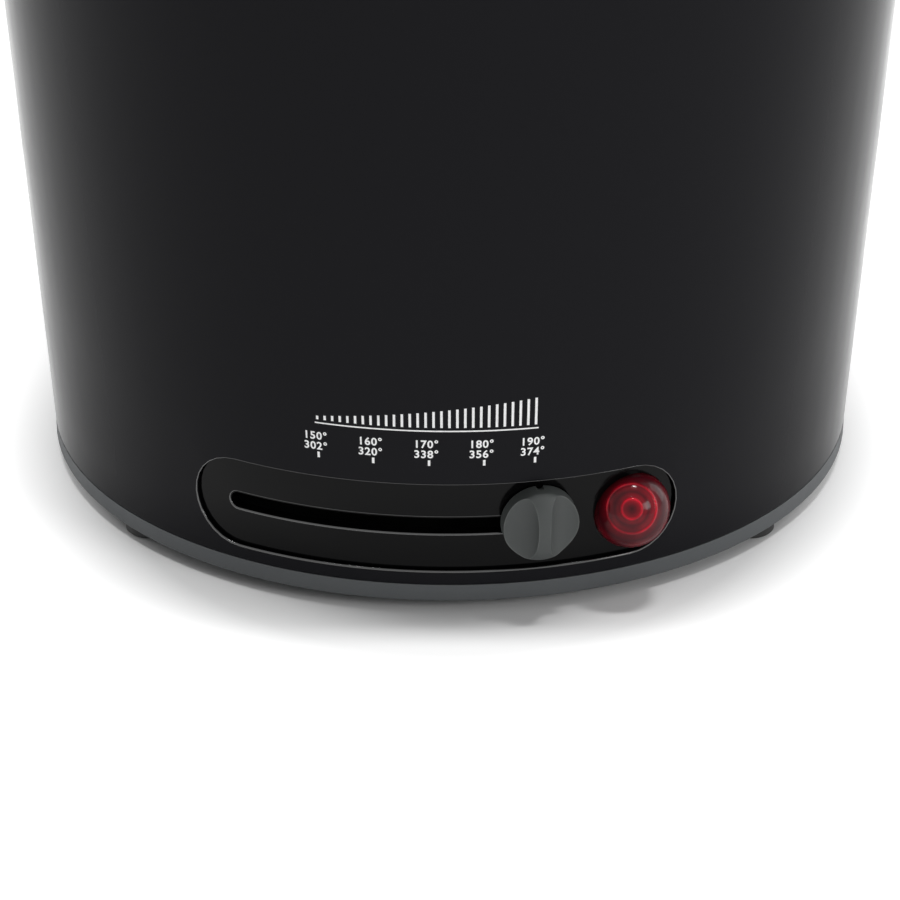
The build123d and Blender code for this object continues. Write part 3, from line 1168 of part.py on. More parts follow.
with BuildPart() as grip_upper:
    rounded_prism(PIVOT_Z, GRIP_HALF, GRIP_W, GRIP_L_OUT, GRIP_END_R, GRIP_MID_Y)
    fillet(grip_upper.faces().sort_by(Axis.Z)[-1].edges(), GRIP_EDGE_R)
    arm_room()
    with BuildSketch(Plane.XY.offset(PIVOT_Z)):
        with Locations((0, PIVOT_Y - BUTTON_AT)):
            SlotOverall(BUTTON_L + 2 * PLAY, BUTTON_W + 2 * PLAY, rotation=90)
    extrude(amount=GRIP_THICK, mode=Mode.SUBTRACT)
    for y in grip_screw_ys:
        round_post(PIVOT_Z, GRIP_HALF / 2, SCREW_R + RUN, (0, y), Mode.SUBTRACT)
save_on_handle(grip_upper.part, "grip_upper")

with BuildPart() as grip_lower:
    rounded_prism(PIVOT_Z - GRIP_HALF, GRIP_HALF, GRIP_W, GRIP_L_OUT, GRIP_END_R, GRIP_MID_Y)
    fillet(grip_lower.faces().sort_by(Axis.Z)[0].edges(), GRIP_EDGE_R)
    arm_room()
    for y in grip_screw_ys:
        round_post(PIVOT_Z - GRIP_HALF, GRIP_HALF, SCREW_R + SEAT, (0, y), Mode.SUBTRACT)
        round_post(PIVOT_Z - GRIP_HALF, GRIP_HALF / 2, SCREW_HEAD_R + PLAY, (0, y), Mode.SUBTRACT)
save_on_handle(grip_lower.part, "grip_lower")

with BuildPart() as grip_screws:
    for y in grip_screw_ys:
        round_post(PIVOT_Z - GRIP_HALF / 2 - SCREW_HEAD_H, SCREW_HEAD_H, SCREW_HEAD_R, (0, y))
        round_post(PIVOT_Z - GRIP_HALF / 2 - SCREW_HEAD_H, GRIP_HALF, SCREW_R, (0, y))
save_on_handle(grip_screws.part, "grip_screws")

BUTTON_LOW = PIVOT_Z + ARM_T / 2 + PLAY + BUTTON_TRAVEL
with BuildPart() as handle_button:
    with BuildSketch(Plane.XY.offset(BUTTON_LOW)):
        with Locations((0, PIVOT_Y - BUTTON_AT)):
            SlotOverall(BUTTON_L, BUTTON_W, rotation=90)
    extrude(amount=PIVOT_Z + GRIP_HALF + BUTTON_RISE - BUTTON_LOW)
    fillet(handle_button.faces().sort_by(Axis.Z)[-1].edges(), BUTTON_RISE / 2)
save_on_handle(handle_button.part, "handle_button")
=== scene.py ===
"""Looks of an oblong household deep fryer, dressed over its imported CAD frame.

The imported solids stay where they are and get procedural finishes. The scene adds what
solids show poorly: the printed scale on the wall, the fine beads around the control panel
and its slot, the turned ridges of the lamp's lens and the welded wire of the basket.
"""

from __future__ import annotations

import logging
import math
from dataclasses import dataclass
from enum import Enum
from typing import ClassVar, Iterable

import bmesh
import bpy
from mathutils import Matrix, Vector


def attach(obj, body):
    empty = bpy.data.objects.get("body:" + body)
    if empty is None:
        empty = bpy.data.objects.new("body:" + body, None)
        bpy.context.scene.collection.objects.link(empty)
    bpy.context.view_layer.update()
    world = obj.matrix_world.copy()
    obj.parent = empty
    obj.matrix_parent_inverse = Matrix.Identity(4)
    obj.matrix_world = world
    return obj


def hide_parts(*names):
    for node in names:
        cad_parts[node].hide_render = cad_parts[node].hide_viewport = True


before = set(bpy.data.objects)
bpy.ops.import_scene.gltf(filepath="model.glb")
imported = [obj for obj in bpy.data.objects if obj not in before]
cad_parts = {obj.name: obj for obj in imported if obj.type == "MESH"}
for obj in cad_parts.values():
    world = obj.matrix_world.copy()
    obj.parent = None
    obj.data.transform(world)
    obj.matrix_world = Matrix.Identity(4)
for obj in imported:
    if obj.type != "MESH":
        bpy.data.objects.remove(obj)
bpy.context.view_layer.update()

LOG = logging.getLogger("fryer")
MM = 0.001
UP = Vector((0.0, 0.0, 1.0))
WHITE = (1.0, 1.0, 1.0)
NUMBER, TINT, ARROW = "NodeSocketFloat", "NodeSocketColor", "NodeSocketVector"

Colour = tuple[float, float, float]
Point = tuple[float, float, float]
Pair = tuple[float, float]
Socket = bpy.types.NodeSocket


class Effect(Enum):
    """Shader effects that several finishes share."""

    GRAIN = "fine_grain"
    HAZE = "handling_haze"
    DUST = "settled_dust"
    BRUSH = "brushed_lines"
    WEAR = "edge_wear"


class NodeSheet:
    """Adds nodes to one shader tree and joins them."""

    def __init__(self, tree: bpy.types.NodeTree) -> None:
        """Keep the tree that the nodes go into."""
        self.tree = tree

    def feed(self, value: object, socket: Socket) -> None:
        """Join a socket to an input, or set the input to a plain value.

        Args:
            value: A socket or a plain value.
            socket: The input that takes it.
        """
        if isinstance(value, Socket):
            self.tree.links.new(value, socket)
        else:
            socket.default_value = value

    def add(self, kind: str, *first: object, operation: str = "", **named: object) -> bpy.types.Node:
        """Add one node and feed its inputs with sockets or plain values.

        Args:
            kind: The node's type.
            *first: What its first inputs take, in order.
            operation: What a node of mathematics works out.
            **named: What further inputs take by name, with underscores for spaces.

        Returns:
            The new node.
        """
        node = self.tree.nodes.new(kind)
        if operation:
            node.operation = operation
        for place, value in enumerate(first):
            self.feed(value, node.inputs[place])
        for name, value in named.items():
            self.feed(value, node.inputs[name.replace("_", " ")])
        return node

    def math(self, operation: str, first: object, second: object) -> Socket:
        """Work out two sockets or numbers and give the result."""
        return self.add("ShaderNodeMath", first, second, operation=operation).outputs[0]

    def vector(self, operation: str, *given: object) -> Socket:
        """Work out vectors and give the resulting vector."""
        return self.add("ShaderNodeVectorMath", *given, operation=operation).outputs["Vector"]

    def measure(self, operation: str, *given: object) -> Socket:
        """Work out vectors and give the resulting number."""
        return self.add("ShaderNodeVectorMath", *given, operation=operation).outputs["Value"]

    def remap(self, value: object, source: Pair, target: tuple[object, object]) -> Socket:
        """Carry a value from one range of lowest and highest to another, clamped."""
        return self.add("ShaderNodeMapRange", value, *source, *target).outputs["Result"]

    def mix(self, factor: object, first: object, second: object) -> Socket:
        """Mix two colours.

        Args:
            factor: A socket or a number from 0 to 1.
            first: The colour at 0.
            second: The colour at 1.

        Returns:
            The mixed colour's socket.
        """
        node = self.tree.nodes.new("ShaderNodeMix")
        node.data_type = "RGBA"
        for name, value in (("Factor", factor), ("A", first), ("B", second)):
            self.feed(value, node.inputs[name])
        return node.outputs["Result"]

    def noise(self, place: Socket, scale: object, detail: float = 3.0) -> Socket:
        """Give noise of so many waves per metre, with so many finer octaves."""
        return self.add("ShaderNodeTexNoise", Vector=place, Scale=scale, Detail=detail).outputs["Fac"]

    def place(self) -> Socket:
        """Give the place on the object's surface."""
        return self.add("ShaderNodeTexCoord").outputs["Object"]

    def normal(self) -> Socket:
        """Give the surface's own direction."""
        return self.add("ShaderNodeNewGeometry").outputs["Normal"]

    def seen(self) -> Socket:
        """Give 1 for rays that show a surface to the eye, straight or through a mirror or glass.

        Returns:
            The value's socket.
        """
        path = self.add("ShaderNodeLightPath").outputs
        mirrored = self.math("ADD", path["Is Camera Ray"], path["Is Glossy Ray"])
        return self.math("ADD", mirrored, path["Is Transmission Ray"])


class EffectLibrary:
    """Builds each shared effect once, as a shader node group."""

    PITS_PER_WAVE = 1.7
    PIT_DEPTH = 0.6
    SPECKS_PER_SMEAR = 14.0
    SPECK_SHARE = 0.25
    DUST_SCALE = 55.0
    WEAR_SCALE = 260.0
    BEVEL_SAMPLES = 4

    def __init__(self) -> None:
        """Start with no group built."""
        self._made: dict[Effect, bpy.types.NodeTree] = {}

    def place(self, sheet: NodeSheet, effect: Effect, **values: object) -> bpy.types.Node:
        """Put an effect into a material.

        Args:
            sheet: The material's node sheet.
            effect: The effect wanted.
            **values: The group's inputs by name, with underscores for spaces.

        Returns:
            The group node, with the effect's outputs.
        """
        if effect not in self._made:
            self._made[effect] = getattr(self, "_" + effect.value)()
        node = sheet.add("ShaderNodeGroup")
        node.node_tree = self._made[effect]
        for name, value in values.items():
            sheet.feed(value, node.inputs[name.replace("_", " ")])
        return node

    def _open(
        self, effect: Effect, inputs: dict[str, str], outputs: dict[str, str]
    ) -> tuple[NodeSheet, bpy.types.NodeOutputs, bpy.types.NodeInputs]:
        """Open a new group with its sockets.

        Args:
            effect: The effect that the group is for.
            inputs: Socket type by input name.
            outputs: Socket type by output name.

        Returns:
            The group's sheet, the sockets that it is given and those that it fills.
        """
        tree = bpy.data.node_groups.new(effect.value, "ShaderNodeTree")
        for label, kind in inputs.items():
            tree.interface.new_socket(label, in_out="INPUT", socket_type=kind)
        for label, kind in outputs.items():
            tree.interface.new_socket(label, in_out="OUTPUT", socket_type=kind)
        given, result = tree.nodes.new("NodeGroupInput"), tree.nodes.new("NodeGroupOutput")
        return NodeSheet(tree), given.outputs, result.inputs

    def _fine_grain(self) -> bpy.types.NodeTree:
        """Build the moulded or cast grain: small pits between soft waves.

        Returns:
            The group's tree.
        """
        sheet, given, result = self._open(Effect.GRAIN, {"Scale": NUMBER}, {"Height": NUMBER})
        place = sheet.place()
        waves = sheet.noise(place, given["Scale"])
        finer = sheet.math("MULTIPLY", given["Scale"], self.PITS_PER_WAVE)
        pits = sheet.add("ShaderNodeTexVoronoi", Vector=place, Scale=finer)
        depth = sheet.math("MULTIPLY", pits.outputs["Distance"], self.PIT_DEPTH)
        sheet.feed(sheet.math("ADD", waves, depth), result["Height"])
        return sheet.tree

    def _handling_haze(self) -> bpy.types.NodeTree:
        """Build the uneven shine that wiping and fingers leave.

        Returns:
            The group's tree.
        """
        inputs = {"Scale": NUMBER, "Polished": NUMBER, "Dulled": NUMBER}
        sheet, given, result = self._open(Effect.HAZE, inputs, {"Roughness": NUMBER})
        place = sheet.place()
        smears = sheet.noise(place, given["Scale"], 4.0)
        finer = sheet.math("MULTIPLY", given["Scale"], self.SPECKS_PER_SMEAR)
        specks = sheet.math("MULTIPLY", sheet.noise(place, finer, 2.0), self.SPECK_SHARE)
        blend = sheet.math("ADD", sheet.math("MULTIPLY", smears, 1 - self.SPECK_SHARE), specks)
        rough = sheet.remap(blend, (0.35, 0.68), (given["Polished"], given["Dulled"]))
        sheet.feed(rough, result["Roughness"])
        return sheet.tree

    def _settled_dust(self) -> bpy.types.NodeTree:
        """Build the film of dust that lies on faces turned upward.

        Returns:
            The group's tree.
        """
        inputs = {"Color": TINT, "Dust": TINT, "Amount": NUMBER}
        sheet, given, result = self._open(Effect.DUST, inputs, {"Color": TINT})
        facing = sheet.add("ShaderNodeSeparateXYZ", sheet.normal())
        upward = sheet.remap(facing.outputs["Z"], (0.5, 1.0), (0.0, 1.0))
        film = sheet.remap(sheet.noise(sheet.place(), self.DUST_SCALE, 5.0), (0.4, 0.75), (0.15, 1.0))
        amount = sheet.math("MULTIPLY", sheet.math("MULTIPLY", upward, film), given["Amount"])
        dusty = sheet.mix(amount, given["Color"], given["Dust"])
        sheet.feed(dusty, result["Color"])
        return sheet.tree

    def _brushed_lines(self) -> bpy.types.NodeTree:
        """Build the fine parallel lines of brushed or drawn metal.

        Returns:
            The group's tree.
        """
        inputs = {"Stretch": ARROW, "Scale": NUMBER}
        sheet, given, result = self._open(Effect.BRUSH, inputs, {"Height": NUMBER, "Streak": NUMBER})
        drawn = sheet.vector("MULTIPLY", sheet.place(), given["Stretch"])
        lines = sheet.noise(drawn, given["Scale"], 4.0)
        sheet.feed(lines, result["Height"])
        sheet.feed(sheet.remap(lines, (0.3, 0.7), (0.0, 1.0)), result["Streak"])
        return sheet.tree

    def _edge_wear(self) -> bpy.types.NodeTree:
        """Build the lighter rub along edges, broken up by noise.

        Returns:
            The group's tree.
        """
        inputs = {"Color": TINT, "Worn": TINT, "Radius": NUMBER, "Amount": NUMBER}
        sheet, given, result = self._open(Effect.WEAR, inputs, {"Color": TINT})
        rounded = sheet.add("ShaderNodeBevel", Radius=given["Radius"])
        rounded.samples = self.BEVEL_SAMPLES
        apart = sheet.measure("DOT_PRODUCT", rounded.outputs["Normal"], sheet.normal())
        edge = sheet.remap(apart, (0.995, 0.8), (0.0, 1.0))
        broken = sheet.remap(sheet.noise(sheet.place(), self.WEAR_SCALE, 4.0), (0.38, 0.62), (0.2, 1.0))
        mask = sheet.math("MULTIPLY", sheet.math("MULTIPLY", edge, broken), given["Amount"])
        rubbed = sheet.mix(mask, given["Color"], given["Worn"])
        sheet.feed(rubbed, result["Color"])
        return sheet.tree


def rgba(colour: Colour) -> tuple[float, float, float, float]:
    """Give a colour its full alpha."""
    return (*colour, 1.0)


class Canvas:
    """One material in the making."""

    def __init__(self, name: str, effects: EffectLibrary) -> None:
        """Start a material with one Principled BSDF.

        Args:
            name: The material's name.
            effects: The shared effects.
        """
        self.material = bpy.data.materials.new(name)
        self.material.use_nodes = True
        self.sheet = NodeSheet(self.material.node_tree)
        self._shader = self.material.node_tree.nodes["Principled BSDF"]
        self._effects = effects

    def lay(self, **values: object) -> None:
        """Set or feed the shader's inputs."""
        for name, value in values.items():
            self.sheet.feed(value, self._shader.inputs[name.replace("_", " ")])

    def effect(self, effect: Effect, **values: object) -> bpy.types.NodeOutputs:
        """Put a shared effect in, with its inputs by name, and give its outputs."""
        return self._effects.place(self.sheet, effect, **values).outputs

    def shine(self, scale: float, polished: float, dulled: float) -> None:
        """Lay uneven shine, in smears of so many waves per metre and from polished to dulled."""
        haze = self.effect(Effect.HAZE, Scale=scale, Polished=polished, Dulled=dulled)
        self.lay(Roughness=haze["Roughness"])

    def relief(self, height: Socket, depth: float) -> None:
        """Feed a height into the normal."""
        node = self.sheet.add("ShaderNodeBump", Strength=1.0, Distance=depth, Height=height)
        self.lay(Normal=node.outputs["Normal"])

    def grain(self, scale: float, depth: float) -> None:
        """Lay moulded grain of so many waves per metre and of a depth in metres."""
        self.relief(self.effect(Effect.GRAIN, Scale=scale)["Height"], depth)


@dataclass(frozen=True)
class OblongWall:
    """The leaning wall of the housing: its front round end, in metres."""

    centre_y: float = -57.75 * MM
    foot_radius: float = 130.0 * MM
    foot_z: float = 9.6 * MM
    lean: float = math.radians(3.5)

    def radius(self, z: float) -> float:
        """Give the wall's radius at a height."""
        return self.foot_radius + math.tan(self.lean) * (z - self.foot_z)

    def outward(self, azimuth: float) -> Point:
        """Give the wall's outward direction at an azimuth."""
        level = math.cos(self.lean)
        return (level * math.sin(azimuth), -level * math.cos(azimuth), -math.sin(self.lean))

    def point(self, azimuth: float, z: float, lift: float) -> Point:
        """Give a point at an azimuth right of the front and a height, lifted off the wall."""
        reach = self.radius(z) + lift
        return (reach * math.sin(azimuth), self.centre_y - reach * math.cos(azimuth), z)


@dataclass(frozen=True)
class Finish:
    """What every finish has: a name and a way to make its material."""

    name: str

    def build(self, effects: EffectLibrary) -> bpy.types.Material:
        """Make the material.

        Args:
            effects: The shared effects.

        Returns:
            The finished material.
        """
        canvas = Canvas(self.name, effects)
        self.paint(canvas)
        return canvas.material

    def paint(self, canvas: Canvas) -> None:
        """Lay colour, shine and relief on a new material."""
        raise NotImplementedError


@dataclass(frozen=True)
class MouldedPlastic(Finish):
    """Moulded plastic, from high gloss to a fine matt grain."""

    colour: Colour
    polished: float
    dulled: float
    grain_scale: float
    grain_depth: float
    specular: float = 0.5
    dust: float = 0.02
    wear: float = 0.0
    worn_colour: Colour = (0.2, 0.2, 0.2)
    dust_colour: Colour = (0.42, 0.41, 0.39)
    wear_radius: float = 0.7 * MM
    smear_scale: float = 16.0

    def paint(self, canvas: Canvas) -> None:
        """Lay the dusted and rubbed colour, the shine and the grain.

        Args:
            canvas: The material in the making.
        """
        canvas.lay(Specular_IOR_Level=self.specular)
        dust = rgba(self.dust_colour)
        colour = canvas.effect(Effect.DUST, Color=rgba(self.colour), Dust=dust, Amount=self.dust)["Color"]
        if self.wear:
            rub = {"Worn": rgba(self.worn_colour), "Radius": self.wear_radius, "Amount": self.wear}
            colour = canvas.effect(Effect.WEAR, Color=colour, **rub)["Color"]
        canvas.lay(Base_Color=colour)
        canvas.shine(self.smear_scale, self.polished, self.dulled)
        canvas.grain(self.grain_scale, self.grain_depth)


@dataclass(frozen=True)
class DrawnMetal(Finish):
    """Bare metal with the lines of brushing, drawing or rolling."""

    colour: Colour
    shade: Colour
    smooth: float
    streaked: float
    stretch: Point
    line_scale: float
    line_depth: float
    wear: float = 0.25
    worn_colour: Colour = (0.9, 0.9, 0.91)
    wear_radius: float = 0.5 * MM

    def paint(self, canvas: Canvas) -> None:
        """Lay the lined colour, its bright edges, the shine and the lines.

        Args:
            canvas: The material in the making.
        """
        sheet = canvas.sheet
        lines = canvas.effect(Effect.BRUSH, Stretch=self.stretch, Scale=self.line_scale)
        toned = sheet.mix(lines["Streak"], rgba(self.shade), rgba(self.colour))
        rub = {"Worn": rgba(self.worn_colour), "Radius": self.wear_radius, "Amount": self.wear}
        rough = sheet.remap(lines["Streak"], (0.0, 1.0), (self.streaked, self.smooth))
        worn = canvas.effect(Effect.WEAR, Color=toned, **rub)["Color"]
        canvas.lay(Metallic=1.0, Base_Color=worn, Roughness=rough)
        canvas.relief(lines["Height"], self.line_depth)


@dataclass(frozen=True)
class SpeckledCoating(Finish):
    """Dark baked non-stick coating with pale flecks."""

    colour: Colour
    fleck: Colour
    fleck_scale: float
    patch_share: float = 0.6

    def paint(self, canvas: Canvas) -> None:
        """Lay the flecked colour, the shine and the grain.

        Args:
            canvas: The material in the making.
        """
        sheet = canvas.sheet
        place = sheet.place()
        cells = sheet.add("ShaderNodeTexVoronoi", Vector=place, Scale=self.fleck_scale)
        near = sheet.remap(cells.outputs["Distance"], (0.12, 0.22), (1.0, 0.0))
        patches = sheet.noise(place, self.fleck_scale * self.patch_share)
        flecks = sheet.math("MULTIPLY", near, sheet.remap(patches, (0.5, 0.62), (0.0, 1.0)))
        canvas.lay(Base_Color=sheet.mix(flecks, rgba(self.colour), rgba(self.fleck)))
        canvas.shine(scale=24.0, polished=0.28, dulled=0.46)
        canvas.grain(scale=900.0, depth=0.03 * MM)


@dataclass(frozen=True)
class SoftRubber(Finish):
    """Rubber or silicone with a faint bloom."""

    colour: Colour
    bloom: Colour
    polished: float
    dulled: float
    bloom_scale: float = 70.0
    dust_colour: Colour = (0.45, 0.44, 0.42)
    dust: float = 0.1

    def paint(self, canvas: Canvas) -> None:
        """Lay the bloomed and dusted colour, the shine and the grain.

        Args:
            canvas: The material in the making.
        """
        sheet = canvas.sheet
        cloud = sheet.remap(sheet.noise(sheet.place(), self.bloom_scale, 4.0), (0.4, 0.7), (0.0, 0.6))
        bloomed = sheet.mix(cloud, rgba(self.colour), rgba(self.bloom))
        dust = rgba(self.dust_colour)
        canvas.lay(Base_Color=canvas.effect(Effect.DUST, Color=bloomed, Dust=dust, Amount=self.dust)["Color"])
        canvas.shine(scale=40.0, polished=self.polished, dulled=self.dulled)
        canvas.grain(scale=1500.0, depth=0.02 * MM)


@dataclass(frozen=True)
class ClearGlass(Finish):
    """Clear pressed glass with a trace of wiping."""

    colour: Colour
    polished: float
    dulled: float
    bending: float = 1.47

    def paint(self, canvas: Canvas) -> None:
        """Lay the clear body and its shine."""
        canvas.lay(Base_Color=rgba(self.colour), Transmission_Weight=1.0, IOR=self.bending)
        canvas.shine(scale=30.0, polished=self.polished, dulled=self.dulled)


@dataclass(frozen=True)
class TintedLens(Finish):
    """Translucent red plastic of a pilot lamp, with the light that its turned rings gather painted into the
    colour.
    """

    # glow is the painted colour of the light the rings gather; deep is the red between them.
    glow: Colour
    deep: Colour
    clearness: float
    centre: Point
    axis: Point
    radius: float
    rings: tuple[Pair, ...]
    specular: float = 0.3
    bending: float = 1.5
    cloud_scale: float = 160.0

    def off_axis(self, sheet: NodeSheet) -> Socket:
        """Measure how far a place lies from the rings' axis.

        Args:
            sheet: The material's node sheet.

        Returns:
            The share of the lens's radius.
        """
        from_centre = sheet.vector("SUBTRACT", sheet.place(), self.centre)
        sideways = sheet.vector("CROSS_PRODUCT", from_centre, self.axis)
        return sheet.math("DIVIDE", sheet.measure("LENGTH", sideways), self.radius)

    def paint(self, canvas: Canvas) -> None:
        """Lay the clear body, its rings of painted light and the shine.

        Args:
            canvas: The material in the making.
        """
        sheet = canvas.sheet
        canvas.lay(Transmission_Weight=self.clearness, IOR=self.bending, Specular_IOR_Level=self.specular)
        # Painted highlight: bright bands of colour at the rings' radii stand in for the light the turned
        # rings gather, varied by noise.
        painted_ring_bands = sheet.add("ShaderNodeValToRGB")
        stops = painted_ring_bands.color_ramp.elements
        while len(stops) < len(self.rings):
            stops.new(1.0)
        for stop, (place, light) in zip(stops, self.rings):
            stop.position = place
            stop.color = rgba((light, light, light))
        sheet.feed(self.off_axis(sheet), painted_ring_bands.inputs["Fac"])
        cloud = sheet.remap(sheet.noise(sheet.place(), self.cloud_scale), (0.35, 0.65), (0.35, 1.25))
        painted_ring_light = sheet.math("MULTIPLY", painted_ring_bands.outputs["Color"], cloud)
        canvas.lay(Base_Color=sheet.mix(painted_ring_light, rgba(self.deep), rgba(self.glow)))
        canvas.shine(scale=60.0, polished=0.06, dulled=0.14)


@dataclass(frozen=True)
class FibreMat(Finish):
    """Loose fibre mat of the vapour filter."""

    colour: Colour
    shade: Colour
    strand_stretch: Point = (1.0, 1.0, 6.0)
    strand_scale: float = 350.0
    strand_depth: float = 0.6 * MM

    def paint(self, canvas: Canvas) -> None:
        """Lay the stranded colour, its dullness and the strands.

        Args:
            canvas: The material in the making.
        """
        sheet = canvas.sheet
        strands = canvas.effect(Effect.BRUSH, Stretch=self.strand_stretch, Scale=self.strand_scale)
        canvas.lay(
            Base_Color=sheet.mix(strands["Streak"], rgba(self.shade), rgba(self.colour)),
            Roughness=sheet.remap(strands["Streak"], (0.0, 1.0), (0.95, 0.8)),
        )
        canvas.relief(strands["Height"], self.strand_depth)


@dataclass(frozen=True)
class PrintInk(Finish):
    """White pad-printed ink, a little thin in places."""

    colour: Colour
    thin: Colour
    cover_scale: float = 900.0

    def paint(self, canvas: Canvas) -> None:
        """Lay the ink's uneven cover and its shine.

        Args:
            canvas: The material in the making.
        """
        sheet = canvas.sheet
        cover = sheet.remap(sheet.noise(sheet.place(), self.cover_scale, 4.0), (0.3, 0.5), (0.0, 1.0))
        canvas.lay(Base_Color=sheet.mix(cover, rgba(self.thin), rgba(self.colour)))
        canvas.shine(scale=80.0, polished=0.35, dulled=0.55)


WALL = OblongWall()
LAMP_AZIMUTH = math.radians(24.6)
LAMP_Z = 29.5 * MM
LAMP_RISE = 11.4 * MM
LENS_BALL = 12.1 * MM
PANEL_RECESS = 1.0 * MM
LENS_FACING = (0.0, -0.9, 0.43)
# Share of the radius, and how bright the painted ring light is there.
LENS_RINGS = (
    (0.0, 0.0),
    (0.1, 0.1),
    (0.2, 0.3),
    (0.25, 1.0),
    (0.3, 0.18),
    (0.34, 0.24),
    (0.42, 0.05),
    (0.52, 0.24),
    (0.57, 0.18),
    (0.61, 0.8),
    (0.66, 0.14),
    (0.8, 0.0),
    (0.92, 0.1),
    (1.0, 0.05),
)


def lens_centre() -> Point:
    """Give the middle of the ball that the pilot lamp's lens is turned from."""
    face = Vector(WALL.point(LAMP_AZIMUTH, LAMP_Z, -PANEL_RECESS))
    return tuple(face + (LAMP_RISE - LENS_BALL) * Vector(WALL.outward(LAMP_AZIMUTH)))


class Finishes(Enum):
    """Every finish on the fryer."""

    SHELL = MouldedPlastic(
        "gloss_black_shell", (0.0095, 0.0095, 0.0113), 0.1, 0.2, 60.0, 0.02 * MM, specular=0.045, dust=0.004
    )
    PANEL = MouldedPlastic(
        "gloss_black_panel", (0.0015, 0.0015, 0.0017), 0.06, 0.14, 90.0, 0.01 * MM, specular=0.09, dust=0.004
    )
    BEAD = MouldedPlastic(
        "gloss_black_bead", (0.004, 0.004, 0.0043), 0.1, 0.2, 300.0, 0.005 * MM, specular=1.0, dust=0.0
    )
    MATT_BLACK = MouldedPlastic(
        "grained_black", (0.012, 0.012, 0.013), 0.5, 0.66, 1600.0, 0.03 * MM,
        specular=0.35, dust=0.05, wear=0.25, worn_colour=(0.08, 0.08, 0.08),
    )
    BASE_GREY = MouldedPlastic(
        "matt_grey_base", (0.075, 0.081, 0.085), 0.48, 0.62, 1500.0, 0.025 * MM,
        specular=0.4, dust=0.03, wear=0.3, worn_colour=(0.17, 0.17, 0.17),
    )
    KNOB_GREY = MouldedPlastic(
        "matt_grey_knob", (0.042, 0.047, 0.046), 0.42, 0.58, 1700.0, 0.02 * MM,
        specular=0.45, dust=0.01, wear=0.5, worn_colour=(0.2, 0.21, 0.2),
    )
    HEATPROOF = MouldedPlastic(
        "pale_heatproof", (0.72, 0.7, 0.65), 0.45, 0.6, 1200.0, 0.02 * MM,
        specular=0.5, dust=0.08, wear=0.2, worn_colour=(0.85, 0.84, 0.8),
    )
    RUBBER = SoftRubber("black_rubber", (0.018, 0.018, 0.018), (0.05, 0.05, 0.05), 0.6, 0.8)
    SILICONE = SoftRubber("grey_silicone", (0.24, 0.24, 0.235), (0.36, 0.36, 0.35), 0.42, 0.6)
    # The lens's bright rings are painted light, laid in its base colour.
    LENS = TintedLens(
        "red_lens", glow=(0.8, 0.008, 0.03), deep=(0.055, 0.004, 0.008), clearness=0.12,
        centre=lens_centre(), axis=tuple(Vector(LENS_FACING).normalized()),
        radius=LENS_BALL, rings=LENS_RINGS, specular=0.12,
    )
    GLASS = ClearGlass("clear_glass", (0.93, 0.96, 0.95), 0.01, 0.06)
    COATING = SpeckledCoating("nonstick_coating", (0.02, 0.02, 0.022), (0.2, 0.2, 0.2), 420.0)
    SATIN = DrawnMetal(
        "satin_aluminium", (0.72, 0.72, 0.73), (0.6, 0.6, 0.61), 0.28, 0.42,
        stretch=(12.0, 1.0, 0.35), line_scale=260.0, line_depth=0.01 * MM,
    )
    STEEL = DrawnMetal(
        "brushed_steel", (0.62, 0.62, 0.63), (0.48, 0.48, 0.49), 0.22, 0.38,
        stretch=(14.0, 0.5, 6.0), line_scale=420.0, line_depth=0.008 * MM,
    )
    WIRE = DrawnMetal(
        "plated_wire", (0.72, 0.72, 0.73), (0.55, 0.55, 0.56), 0.16, 0.3,
        stretch=(6.0, 6.0, 0.6), line_scale=500.0, line_depth=0.005 * MM, wear=0.0,
    )
    FIBRE = FibreMat("filter_fibre", (0.5, 0.5, 0.47), (0.3, 0.3, 0.28))
    INK = PrintInk("white_ink", (0.95, 0.95, 0.95), (0.84, 0.84, 0.85))


class Dresser:
    """Makes each finish once and lays it on CAD nodes and new pieces."""

    def __init__(self, effects: EffectLibrary) -> None:
        """Keep the shared effects."""
        self._effects = effects
        self._made: dict[Finishes, bpy.types.Material] = {}

    def material(self, finish: Finishes) -> bpy.types.Material:
        """Give the material of a finish, making it the first time.

        Args:
            finish: The finish wanted.

        Returns:
            Its material.
        """
        if finish not in self._made:
            self._made[finish] = finish.value.build(self._effects)
        return self._made[finish]

    def nodes(self, finish: Finishes, names: Iterable[str]) -> None:
        """Lay a finish on CAD nodes.

        Args:
            finish: The finish they take.
            names: The nodes' names.
        """
        for name in names:
            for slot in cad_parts[name].material_slots:
                slot.material = self.material(finish)
            LOG.info("node %s: %s", name, finish.name)

    def piece(self, piece: bpy.types.Object, finish: Finishes, body: str, slot: str) -> None:
        """Lay a finish on a new piece and let it ride on a body.

        Args:
            piece: The new piece, in place.
            finish: The finish it takes.
            body: The body that carries it.
            slot: The record's material slot; not used.
        """
        piece.data.materials.append(self.material(finish))
        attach(piece, body)
        LOG.info("piece %s on %s: %s", piece.name, body, finish.name)


def mesh_piece(name: str, mesh: bpy.types.Mesh) -> bpy.types.Object:
    """Put a mesh into the scene as a piece.

    Args:
        name: The piece's name.
        mesh: Its mesh.

    Returns:
        The new object.
    """
    mesh.name = name
    piece = bpy.data.objects.new(name, mesh)
    bpy.context.scene.collection.objects.link(piece)
    return piece


def bmesh_piece(name: str, shape: bmesh.types.BMesh) -> bpy.types.Object:
    """Put a finished shape into the scene as a piece and free the shape.

    Args:
        name: The piece's name.
        shape: The shape, which is freed.

    Returns:
        The new object.
    """
    mesh = bpy.data.meshes.new(name)
    shape.to_mesh(mesh)
    shape.free()
    return mesh_piece(name, mesh)


def aimed(name: str, data: bpy.types.ID, place: Point, target: Point) -> bpy.types.Object:
    """Put a light or a camera into the scene, facing a target.

    Args:
        name: The object's name.
        data: The light's or the camera's data.
        place: Where it stands.
        target: What it faces.

    Returns:
        The new object.
    """
    made = bpy.data.objects.new(name, data)
    made.location = place
    aim = Vector(target) - Vector(place)
    made.rotation_euler = aim.to_track_quat("-Z", "Y").to_euler()
    bpy.context.scene.collection.objects.link(made)
    return made


